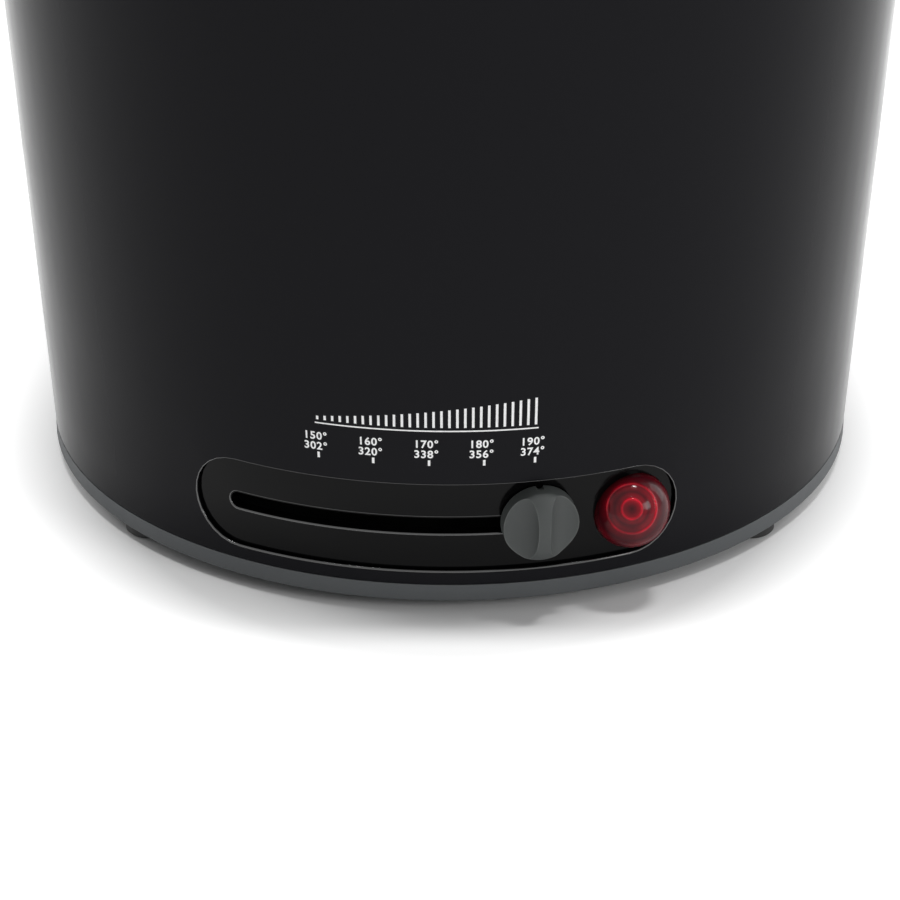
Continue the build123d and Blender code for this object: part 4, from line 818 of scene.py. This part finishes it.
def curve_as_mesh(curve: bpy.types.Curve) -> bpy.types.Mesh:
    """Turn a curve or text into a mesh and drop the curve.

    Args:
        curve: The curve's data.

    Returns:
        The mesh.
    """
    holder = bpy.data.objects.new("holder", curve)
    bpy.context.scene.collection.objects.link(holder)
    view = bpy.context.evaluated_depsgraph_get()
    mesh = bpy.data.meshes.new_from_object(holder.evaluated_get(view))
    bpy.data.objects.remove(holder)
    bpy.data.curves.remove(curve)
    return mesh


def swept_wires(
    name: str, paths: list[list[Point]], radius: float, closed: bool, shares: tuple[float, ...] | None = None
) -> bpy.types.Object:
    """Sweep round wires along paths.

    Args:
        name: The piece's name.
        paths: Each wire's points.
        radius: The wire's radius.
        closed: Whether each path is a loop.
        shares: The share of the radius at each point, or none for an even wire.

    Returns:
        The wires as one mesh piece.
    """
    curve = bpy.data.curves.new(name, "CURVE")
    curve.dimensions = "3D"
    curve.bevel_depth = radius
    curve.bevel_resolution = 1
    curve.use_fill_caps = True
    for path in paths:
        spline = curve.splines.new("POLY")
        spline.points.add(len(path) - 1)
        for index, (place, point) in enumerate(zip(spline.points, path)):
            place.co = (*point, 1.0)
            place.radius = shares[index] if shares else 1.0
        spline.use_cyclic_u = closed
    mesh = curve_as_mesh(curve)
    for face in mesh.polygons:
        face.use_smooth = True
    return mesh_piece(name, mesh)


@dataclass
class PrintedScale:
    """The thermostat's printed scale: marks, two rows of figures and a wedge of heat bars."""

    wall: OblongWall
    mark_azimuths: tuple[float, ...] = (-16.96, -9.79, -2.65, 4.34, 10.86)
    mark_z: float = 53.0 * MM
    mark_size: Pair = (0.75 * MM, 1.9 * MM)
    celsius: tuple[int, ...] = (150, 160, 170, 180, 190)
    celsius_z: float = 57.2 * MM
    fahrenheit_z: float = 53.8 * MM
    figure_height: float = 2.5 * MM
    figure_share: float = 0.7
    figure_spacing: float = 1.1
    figure_weight: float = 0.09 * MM
    figure_shift: float = -0.8 * MM
    bars: int = 29
    bar_z: float = 64.0 * MM
    bar_width: float = 0.75 * MM
    bar_heights: Pair = (1.2 * MM, 9.0 * MM)
    line_height: float = 0.45 * MM
    line_drop: float = 1.35 * MM
    line_steps: int = 40
    lift: float = 0.05 * MM

    def azimuths(self, count: int) -> list[float]:
        """Spread places evenly from the first mark to the last, in radians."""
        first, last = (math.radians(self.mark_azimuths[end]) for end in (0, -1))
        return [first + (last - first) * index / (count - 1) for index in range(count)]

    def patch(self, sheet: bmesh.types.BMesh, azimuth: float, z: float, size: Pair) -> None:
        """Lay one printed rectangle on the wall.

        Args:
            sheet: The mesh that takes it.
            azimuth: Its middle.
            z: Its lower edge.
            size: Its width and height.
        """
        half = size[0] / 2 / self.wall.radius(z)
        corners = ((-half, 0.0), (half, 0.0), (half, size[1]), (-half, size[1]))
        sheet.faces.new([sheet.verts.new(self.wall.point(azimuth + a, z + h, self.lift)) for a, h in corners])

    def figures(self, text: str, azimuth: float, z: float) -> bpy.types.Mesh:
        """Set figures and wrap them on the wall.

        Args:
            text: The figures.
            azimuth: Their middle.
            z: Their foot.

        Returns:
            The wrapped mesh.
        """
        letters = bpy.data.curves.new("figures", "FONT")
        letters.body = text
        letters.size = self.figure_height / self.figure_share
        letters.space_character = self.figure_spacing
        letters.align_x = "CENTER"
        letters.resolution_u = 3
        letters.offset = self.figure_weight
        mesh = curve_as_mesh(letters)
        for vertex in mesh.vertices:
            turn = azimuth + (vertex.co.x + self.figure_shift) / self.wall.radius(z)
            vertex.co = self.wall.point(turn, z + vertex.co.y, self.lift)
        return mesh

    def build_marks(self) -> bpy.types.Object:
        """Build the tick marks under the figures.

        Returns:
            The marks as one piece.
        """
        sheet = bmesh.new()
        for azimuth in map(math.radians, self.mark_azimuths):
            self.patch(sheet, azimuth, self.mark_z - self.mark_size[1], self.mark_size)
        return bmesh_piece("print_marks", sheet)

    def build_row(self, name: str, figures: Iterable[int], z: float) -> bpy.types.Object:
        """Build one row of figures.

        Args:
            name: The piece's name.
            figures: The numbers, from left to right.
            z: The foot of the row.

        Returns:
            The row as one piece.
        """
        sheet = bmesh.new()
        for number, azimuth in zip(figures, map(math.radians, self.mark_azimuths)):
            part = self.figures(f"{number}°", azimuth, z)
            sheet.from_mesh(part)
            bpy.data.meshes.remove(part)
        return bmesh_piece(name, sheet)

    def build_wedge(self) -> bpy.types.Object:
        """Build the thin line and the bars that grow with the heat.

        Returns:
            The line and bars as one piece.
        """
        sheet = bmesh.new()
        low, high = self.bar_heights
        for index, azimuth in enumerate(self.azimuths(self.bars)):
            height = low + (high - low) * index / (self.bars - 1)
            self.patch(sheet, azimuth, self.bar_z, (self.bar_width, height))
        steps = self.azimuths(self.line_steps)
        width = (steps[1] - steps[0]) * self.wall.radius(self.bar_z)
        for azimuth in steps:
            self.patch(sheet, azimuth, self.bar_z - self.line_drop, (width, self.line_height))
        return bmesh_piece("print_wedge", sheet)

    def dress(self, dresser: Dresser) -> None:
        """Build the print and lay its ink on the housing.

        Args:
            dresser: Lays the finishes.
        """
        fahrenheit = [round(value * 9 / 5 + 32) for value in self.celsius]
        for piece in (
            self.build_marks(),
            self.build_row("print_upper_row", self.celsius, self.celsius_z),
            self.build_row("print_lower_row", fahrenheit, self.fahrenheit_z),
            self.build_wedge(),
        ):
            dresser.piece(piece, Finishes.INK, "fryer_body", "white_plastic")


@dataclass
class PanelTrim:
    """The fine bead around the control panel and along the slot, fullest at its foot."""

    wall: OblongWall
    panel_z: float = 29.5 * MM
    panel_height: float = 30.3 * MM
    panel_azimuths: Pair = (-29.1, 24.6)
    slot_z: float = 30.0 * MM
    slot_width: float = 5.2 * MM
    slot_azimuths: Pair = (-29.2, 11.56)
    recess: float = PANEL_RECESS
    bead: float = 0.5 * MM
    faintest: float = 0.2
    run_steps: int = 36
    turn_steps: int = 14

    def loop(self, z: float, height: float, azimuths: Pair, lift: float) -> list[tuple[Point, float]]:
        """Follow an oblong on the wall.

        Args:
            z: The height of its middle line.
            height: Its height.
            azimuths: Where its round ends have their centres, in degrees.
            lift: Distance outward from the wall.

        Returns:
            Each point with the bead's share of its full size there.
        """
        left, right = (math.radians(azimuth) for azimuth in azimuths)
        half = height / 2
        path = []
        for start, end, turn in ((left, right, -math.pi / 2), (right, left, math.pi / 2)):
            for step in range(self.run_steps):
                path.append((start + (end - start) * step / self.run_steps, 0.0, turn))
            for step in range(self.turn_steps):
                path.append((end, half, turn + math.pi * step / self.turn_steps))
        loop = []
        for azimuth, reach, turn in path:
            around = azimuth + reach * math.cos(turn) / self.wall.radius(z)
            low = (1 - math.sin(turn)) / 2
            point = self.wall.point(around, z + half * math.sin(turn), lift)
            loop.append((point, self.faintest + (1 - self.faintest) * low))
        return loop

    def dress(self, dresser: Dresser) -> None:
        """Sweep the beads and lay the panel's finish on them.

        Args:
            dresser: Lays the finishes.
        """
        gap = self.slot_width + 2 * self.bead
        loops = {
            "panel_bead": self.loop(self.panel_z, self.panel_height, self.panel_azimuths, 0.0),
            "slot_bead": self.loop(self.slot_z, gap, self.slot_azimuths, -self.recess),
        }
        for name, loop in loops.items():
            points, shares = zip(*loop)
            piece = swept_wires(name, [list(points)], self.bead, True, shares)
            dresser.piece(piece, Finishes.BEAD, "fryer_body", "panel_black")


@dataclass
class RingedLens:
    """The pilot lamp's lens: a ball with turned ridges, a seat and a rear tube."""

    wall: OblongWall
    rim: float = 11.8 * MM
    seat: float = 1.8 * MM
    tube_radii: Pair = (10.0 * MM, 8.8 * MM)
    tube_length: float = 9.0 * MM
    ridge: float = 0.22 * MM
    ridge_shares: tuple[float, ...] = (0.25, 0.61)
    ridge_half_width: float = 0.035
    fine_rows: int = 130
    fine_end: float = math.radians(100.0)
    coarse_rows: int = 10
    steps: int = 96
    weld: float = 1e-7

    @property
    def back(self) -> float:
        """Give where the seat's back face lies, outward from the ball's middle."""
        return LENS_BALL - LAMP_RISE - self.seat

    def spokes(self, axis: Vector) -> list[Vector]:
        """Give the directions that stand out from an axis, all around it.

        Args:
            axis: The direction that they stand out from.

        Returns:
            One direction for each step around.
        """
        side = axis.cross(UP).normalized()
        over = side.cross(axis)
        turns = (2 * math.pi * step / self.steps for step in range(self.steps))
        return [math.cos(turn) * side + math.sin(turn) * over for turn in turns]

    def swell(self, angle: float) -> float:
        """Give how far the ridges stand out at an angle from the ball's axis.

        Args:
            angle: The angle from the axis, in radians.

        Returns:
            The height over the ball.
        """
        off = min(abs(math.sin(angle) - share) for share in self.ridge_shares)
        near = max(0.0, 1 - off / self.ridge_half_width)
        return self.ridge * near * near * (3 - 2 * near) if angle < math.pi / 2 else 0.0

    def ball_rows(self) -> list[list[Vector]]:
        """Turn the ball's rows, cut to the seat's rim and back face.

        Returns:
            Rows of points from the ball's middle.
        """
        outward = Vector(self.wall.outward(LAMP_AZIMUTH))
        facing = Vector(LENS_FACING).normalized()
        spokes = self.spokes(facing)
        angles = [self.fine_end * row / self.fine_rows for row in range(self.fine_rows)]
        rest = math.pi - self.fine_end
        angles += [self.fine_end + rest * row / self.coarse_rows for row in range(self.coarse_rows + 1)]
        rows = []
        for angle in angles:
            reach = LENS_BALL + self.swell(angle)
            row = []
            for across in spokes:
                place = reach * (math.cos(angle) * facing + math.sin(angle) * across)
                depth = place.dot(outward)
                flat = place - depth * outward
                flat *= self.rim / max(flat.length, self.rim)
                row.append(flat + max(depth, self.back) * outward)
            rows.append(row)
        return rows

    def tube_rows(self) -> list[list[Vector]]:
        """Turn the rear tube's rows.

        Returns:
            Rows of points from the ball's middle.
        """
        outward = Vector(self.wall.outward(LAMP_AZIMUTH))
        spokes = self.spokes(outward)
        outer, inner = self.tube_radii
        front, rear = self.back, self.back - self.tube_length
        corners = ((outer, front), (outer, rear), (inner, rear), (inner, front), (outer, front))
        return [[radius * across + depth * outward for across in spokes] for radius, depth in corners]

    def dress(self, dresser: Dresser) -> None:
        """Turn the lens and let it stand for the plain one.

        Args:
            dresser: Lays the finishes.
        """
        centre = Vector(lens_centre())
        shape = bmesh.new()
        for rows in (self.ball_rows(), self.tube_rows()):
            turned = [[shape.verts.new(centre + point) for point in row] for row in rows]
            for low, high in zip(turned, turned[1:]):
                for here in range(self.steps):
                    ahead = (here + 1) % self.steps
                    shape.faces.new((low[here], high[here], high[ahead], low[ahead])).smooth = True
        bmesh.ops.remove_doubles(shape, verts=shape.verts, dist=self.weld)
        bmesh.ops.dissolve_degenerate(shape, edges=shape.edges, dist=self.weld)
        bmesh.ops.recalc_face_normals(shape, faces=shape.faces)
        piece = bmesh_piece("lamp_lens_turned", shape)
        dresser.piece(piece, Finishes.LENS, "fryer_body", "lens_red")
        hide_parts("lamp_lens")


@dataclass
class WireBasket:
    """The welded wire basket that stands for the basket's solid wall."""

    front_y: float = -57.75 * MM
    rear_y: float = 2.25 * MM
    top_radius: float = 97.2 * MM
    top_z: float = 187.5 * MM
    floor_z: float = 75.1 * MM
    foot_z: float = 69.0 * MM
    lean: float = math.radians(2.9)
    corner: float = 4.2 * MM
    wire: float = 0.65 * MM
    hoop_wire: float = 0.8 * MM
    pitch: float = 7.2 * MM
    hoop_pitch: float = 8.6 * MM
    arc_steps: int = 26
    corner_steps: int = 5
    foot_radius: float = 66.0 * MM
    foot_span: float = 7.0 * MM
    foot_flat: float = 0.7
    foot_azimuth: float = math.radians(52.0)

    def radius(self, z: float) -> float:
        """Give the wall's radius at a height."""
        return self.top_radius - math.tan(self.lean) * (self.top_z - z)

    @property
    def floor_edge(self) -> float:
        """Give the radius where the floor bends up into the wall."""
        return self.radius(self.floor_z + self.corner) - self.corner

    def outline(self, radius: float, z: float) -> list[Point]:
        """Give the oblong loop of one radius.

        Args:
            radius: The round ends' radius.
            z: The loop's height.

        Returns:
            The loop's points, in order.
        """
        loop = []
        for centre, start in ((self.front_y, -math.pi), (self.rear_y, 0.0)):
            for step in range(self.arc_steps + 1):
                turn = start + math.pi * step / self.arc_steps
                loop.append((radius * math.cos(turn), centre + radius * math.sin(turn), z))
        return loop

    def stations(self) -> list[tuple[float, float, float]]:
        """Give the places of the upright wires around the basket.

        Returns:
            For each wire the y of its centre and its direction's x and y.
        """
        places = []
        ends = round(math.pi * self.top_radius / self.pitch)
        for centre, start in ((self.front_y, -math.pi), (self.rear_y, 0.0)):
            for index in range(ends):
                turn = start + math.pi * (index + 0.5) / ends
                places.append((centre, math.cos(turn), math.sin(turn)))
        run = self.rear_y - self.front_y
        sides = round(run / self.pitch)
        for index in range(sides):
            y = self.front_y + run * (index + 0.5) / sides
            places.extend(((y, 1.0, 0.0), (y, -1.0, 0.0)))
        return places

    def upright(self, station: tuple[float, float, float]) -> list[Point]:
        """Give the path of one upright wire, from the rim to the floor's edge.

        Args:
            station: The wire's place.

        Returns:
            Its points.
        """
        centre, along_x, along_y = station
        bend_z = self.floor_z + self.corner
        bend_r = self.floor_edge
        path = [(self.radius(self.top_z), self.top_z), (self.radius(bend_z), bend_z)]
        for step in range(1, self.corner_steps + 1):
            turn = math.pi / 2 * step / self.corner_steps
            path.append((bend_r + self.corner * math.cos(turn), bend_z - self.corner * math.sin(turn)))
        path.append((bend_r - self.corner, self.floor_z))
        return [(r * along_x, centre + r * along_y, z) for r, z in path]

    def reach(self, offset: float, across: bool) -> Pair:
        """Give where a floor wire meets the floor's edge.

        Args:
            offset: The wire's x, or its y where it runs across.
            across: Whether it runs from side to side.

        Returns:
            The wire's two ends along its run.
        """
        edge = self.floor_edge
        if not across:
            half = math.sqrt(edge**2 - offset**2)
            return self.front_y - half, self.rear_y + half
        beyond = max(self.front_y - offset, offset - self.rear_y, 0.0)
        half = math.sqrt(max(edge**2 - beyond**2, 0.0))
        return -half, half

    def floor_wires(self) -> list[list[Point]]:
        """Give the crossing wires of the floor, the second layer on the first.

        Returns:
            Each wire's points.
        """
        edge = self.floor_edge
        wires = []
        count = int(edge / self.hoop_pitch)
        for index in range(-count, count + 1):
            x = index * self.hoop_pitch
            low, high = self.reach(x, False)
            wires.append([(x, low, self.floor_z), (x, high, self.floor_z)])
        middle = (self.front_y + self.rear_y) / 2
        rows = int((edge + (self.rear_y - self.front_y) / 2) / self.hoop_pitch)
        lift = self.floor_z + 2 * self.wire
        for index in range(-rows, rows + 1):
            y = middle + index * self.hoop_pitch
            low, high = self.reach(y, True)
            if high > self.hoop_pitch:
                wires.append([(low, y, lift), (high, y, lift)])
        return wires

    def hoops(self) -> list[list[Point]]:
        """Give the level loops that tie the upright wires, on their outside.

        Returns:
            Each loop's points.
        """
        loops = []
        z = self.floor_z + self.corner
        while z < self.top_z - self.hoop_pitch / 2:
            loops.append(self.outline(self.radius(z) + self.wire, z))
            z += self.hoop_pitch
        loops.append(self.outline(self.floor_edge, self.floor_z))
        return loops

    def feet(self) -> list[list[Point]]:
        """Give the bent wire feet under the floor.

        Returns:
            Each foot's points.
        """
        loops = []
        for side, centre in ((-1.0, self.front_y), (1.0, self.rear_y)):
            for hand in (-1.0, 1.0):
                x = hand * self.foot_radius * math.sin(self.foot_azimuth)
                y = centre + side * self.foot_radius * math.cos(self.foot_azimuth)
                span, low = self.foot_span, self.foot_z + self.wire
                flat = span * self.foot_flat
                ends = ((-span, self.floor_z), (-flat, low), (flat, low), (span, self.floor_z))
                loops.append([(x + step, y, z) for step, z in ends])
        return loops

    def dress(self, dresser: Dresser) -> None:
        """Build the wires, let them stand for the solid basket and lay their finish.

        Args:
            dresser: Lays the finishes.
        """
        uprights = [self.upright(station) for station in self.stations()]
        made = {
            "basket_wall": (
                swept_wires("basket_uprights", uprights, self.wire, False),
                swept_wires("basket_hoops", self.hoops(), self.wire, True),
            ),
            "basket_floor": (
                swept_wires("basket_floor_wires", self.floor_wires(), self.wire, False),
                swept_wires("basket_feet", self.feet(), self.hoop_wire, False),
            ),
        }
        for node, pieces in made.items():
            for piece in pieces:
                dresser.piece(piece, Finishes.WIRE, "basket_unit", "steel_wire")
                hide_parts(node)


@dataclass
class SubAssembly:
    """Some of the fryer's CAD nodes, with the pieces that the scene adds to them."""

    added: tuple[PrintedScale | PanelTrim | RingedLens | WireBasket, ...] = ()
    nodes: ClassVar[dict[Finishes, tuple[str, ...]]] = {}

    def dress(self, dresser: Dresser) -> None:
        """Lay the finishes of the nodes, then build and dress what is added.

        Args:
            dresser: Lays the finishes.
        """
        for finish, names in self.nodes.items():
            dresser.nodes(finish, names)
        for part in self.added:
            part.dress(dresser)


class StandingBody(SubAssembly):
    """The body that stands on the table, with all that is fixed in it, and the slider."""

    nodes = {
        Finishes.SHELL: ("housing",),
        Finishes.PANEL: ("control_panel",),
        Finishes.BASE_GREY: ("base_plate",),
        Finishes.RUBBER: ("feet", "cord_gland"),
        Finishes.LENS: ("lamp_lens",),
        Finishes.MATT_BLACK: (
            "grip_cup_right", "grip_cup_left", "cord_outlet", "hinge_bracket", "slider_carriage",
        ),
        Finishes.HEATPROOF: (
            "lamp_holder", "thermostat_body", "tie_spacers", "thermal_fuse", "terminal_block",
        ),
        Finishes.GLASS: ("neon_lamp",),
        Finishes.COATING: ("bowl",),
        Finishes.SILICONE: ("bowl_gasket",),
        Finishes.SATIN: ("heat_shield",),
        Finishes.STEEL: (
            "heating_element", "tie_stud", "tie_nut", "base_screws", "hinge_pin", "hinge_screws",
            "thermostat_lever", "thermostat_spindle",
        ),
        Finishes.KNOB_GREY: ("slider_knob",),
    }


class Lid(SubAssembly):
    """The hinged lid with its window, filter and latch."""

    nodes = {
        Finishes.SHELL: ("lid_shell",),
        Finishes.SATIN: ("lid_liner",),
        Finishes.GLASS: ("lid_window",),
        Finishes.SILICONE: ("lid_seal", "window_gasket"),
        Finishes.MATT_BLACK: ("window_frame", "filter_duct", "filter_cover"),
        Finishes.BASE_GREY: ("latch_rocker",),
        Finishes.FIBRE: ("filter_pack",),
        Finishes.STEEL: ("liner_screws", "latch_pin"),
    }


class BasketUnit(SubAssembly):
    """The basket with its rim, bracket and folding handle."""

    nodes = {
        Finishes.WIRE: ("basket_floor", "basket_wall", "basket_rim"),
        Finishes.STEEL: ("handle_bracket", "bracket_rivets", "handle_pin", "handle_arm", "grip_screws"),
        Finishes.MATT_BLACK: ("grip_upper", "grip_lower"),
        Finishes.BASE_GREY: ("handle_button",),
    }


@dataclass(frozen=True)
class PaleFloor(Finish):
    """White floor that keeps the shadow and glows a little beyond it."""

    colour: Colour = (0.9, 0.9, 0.9)
    rough: float = 0.9
    glow: float = 0.5
    shade_middle: Point = (0.0, -60.0 * MM, 0.0)
    shade_size: Point = (116.0 * MM, 152.0 * MM, 1.0)
    shade_fade: Pair = (1.0, 1.25)

    def paint(self, canvas: Canvas) -> None:
        """Lay the plain colour and the glow around the shadow.

        Args:
            canvas: The material in the making.
        """
        sheet = canvas.sheet
        canvas.lay(Base_Color=rgba(self.colour), Roughness=self.rough, Specular_IOR_Level=0.0)
        from_middle = sheet.vector("SUBTRACT", sheet.place(), self.shade_middle)
        share = sheet.measure("LENGTH", sheet.vector("DIVIDE", from_middle, self.shade_size))
        glow = sheet.remap(share, self.shade_fade, (0.0, self.glow))
        canvas.lay(Emission_Color=rgba(WHITE), Emission_Strength=sheet.math("MULTIPLY", sheet.seen(), glow))


@dataclass(frozen=True)
class SoftBox:
    """One soft light, with its place, what it faces, its width and height and its power."""

    name: str
    place: Point
    target: Point
    size: Pair
    watts: float

    def hang(self) -> None:
        """Hang the light in the scene."""
        data = bpy.data.lights.new(self.name, "AREA")
        data.shape = "RECTANGLE"
        data.size, data.size_y = self.size
        data.energy = self.watts
        aimed(self.name, data, self.place, self.target)


@dataclass
class Studio:
    """White floor, soft light and the camera of the photograph."""

    floor: PaleFloor = PaleFloor("pale_floor")
    floor_size: float = 12.0
    ambient: float = 0.26
    eye: Point = (0.0, -1129.12 * MM, 538.15 * MM)
    aim: Point = (0.0, -88.17 * MM, 4.0 * MM)
    lens: float = 144.2
    sensor: float = 36.0
    far: float = 50.0
    lights: tuple[SoftBox, ...] = (
        SoftBox("overhead", (0.0, -0.12, 6.0), (0.0, -0.12, 0.0), (3.0, 0.4), 275.0),
        SoftBox("front_right", (2.1, -1.7, 1.1), (0.0, -0.1, 0.05), (0.9, 0.9), 20.0),
        SoftBox("left_wall", (-1.9, 0.8, 0.8), (0.0, 0.0, 0.1), (0.6, 1.6), 7.0),
        SoftBox("right_wall", (1.9, 0.8, 0.8), (0.0, 0.0, 0.1), (0.9, 1.6), 9.0),
    )

    def build_world(self) -> None:
        """Build the even sky: white where it is seen, softer where it lights."""
        world = bpy.data.worlds.new("studio")
        bpy.context.scene.world = world
        world.use_nodes = True
        world.node_tree.nodes.clear()
        sheet = NodeSheet(world.node_tree)
        sky = sheet.add("ShaderNodeBackground", Color=rgba(WHITE))
        sheet.feed(sheet.remap(sheet.seen(), (0.0, 1.0), (self.ambient, 1.0)), sky.inputs["Strength"])
        sheet.feed(sky.outputs[0], sheet.add("ShaderNodeOutputWorld").inputs["Surface"])

    def build_floor(self, effects: EffectLibrary) -> None:
        """Build the pale floor, which keeps the shadow.

        Args:
            effects: The shared effects.
        """
        sheet = bmesh.new()
        bmesh.ops.create_grid(sheet, x_segments=1, y_segments=1, size=self.floor_size / 2)
        floor = bmesh_piece("floor", sheet)
        floor.data.materials.append(self.floor.build(effects))

    def build_camera(self) -> None:
        """Set the camera where the photograph was taken from."""
        data = bpy.data.cameras.new("camera")
        data.lens = self.lens
        data.sensor_width = self.sensor
        data.clip_end = self.far
        bpy.context.scene.camera = aimed("camera", data, self.eye, self.aim)

    def build(self, effects: EffectLibrary) -> None:
        """Build the whole studio.

        Args:
            effects: The shared effects.
        """
        self.build_world()
        self.build_floor(effects)
        self.build_camera()
        for light in self.lights:
            light.hang()
        bpy.context.scene.view_settings.view_transform = "Standard"


def main() -> None:
    """Build the studio, dress every node and add the new pieces."""
    logging.basicConfig(level=logging.INFO, format="%(message)s")
    effects = EffectLibrary()
    dresser = Dresser(effects)
    Studio().build(effects)
    StandingBody((PrintedScale(WALL), PanelTrim(WALL), RingedLens(WALL))).dress(dresser)
    Lid().dress(dresser)
    BasketUnit((WireBasket(),)).dress(dresser)


if __name__ == "__main__":
    main()
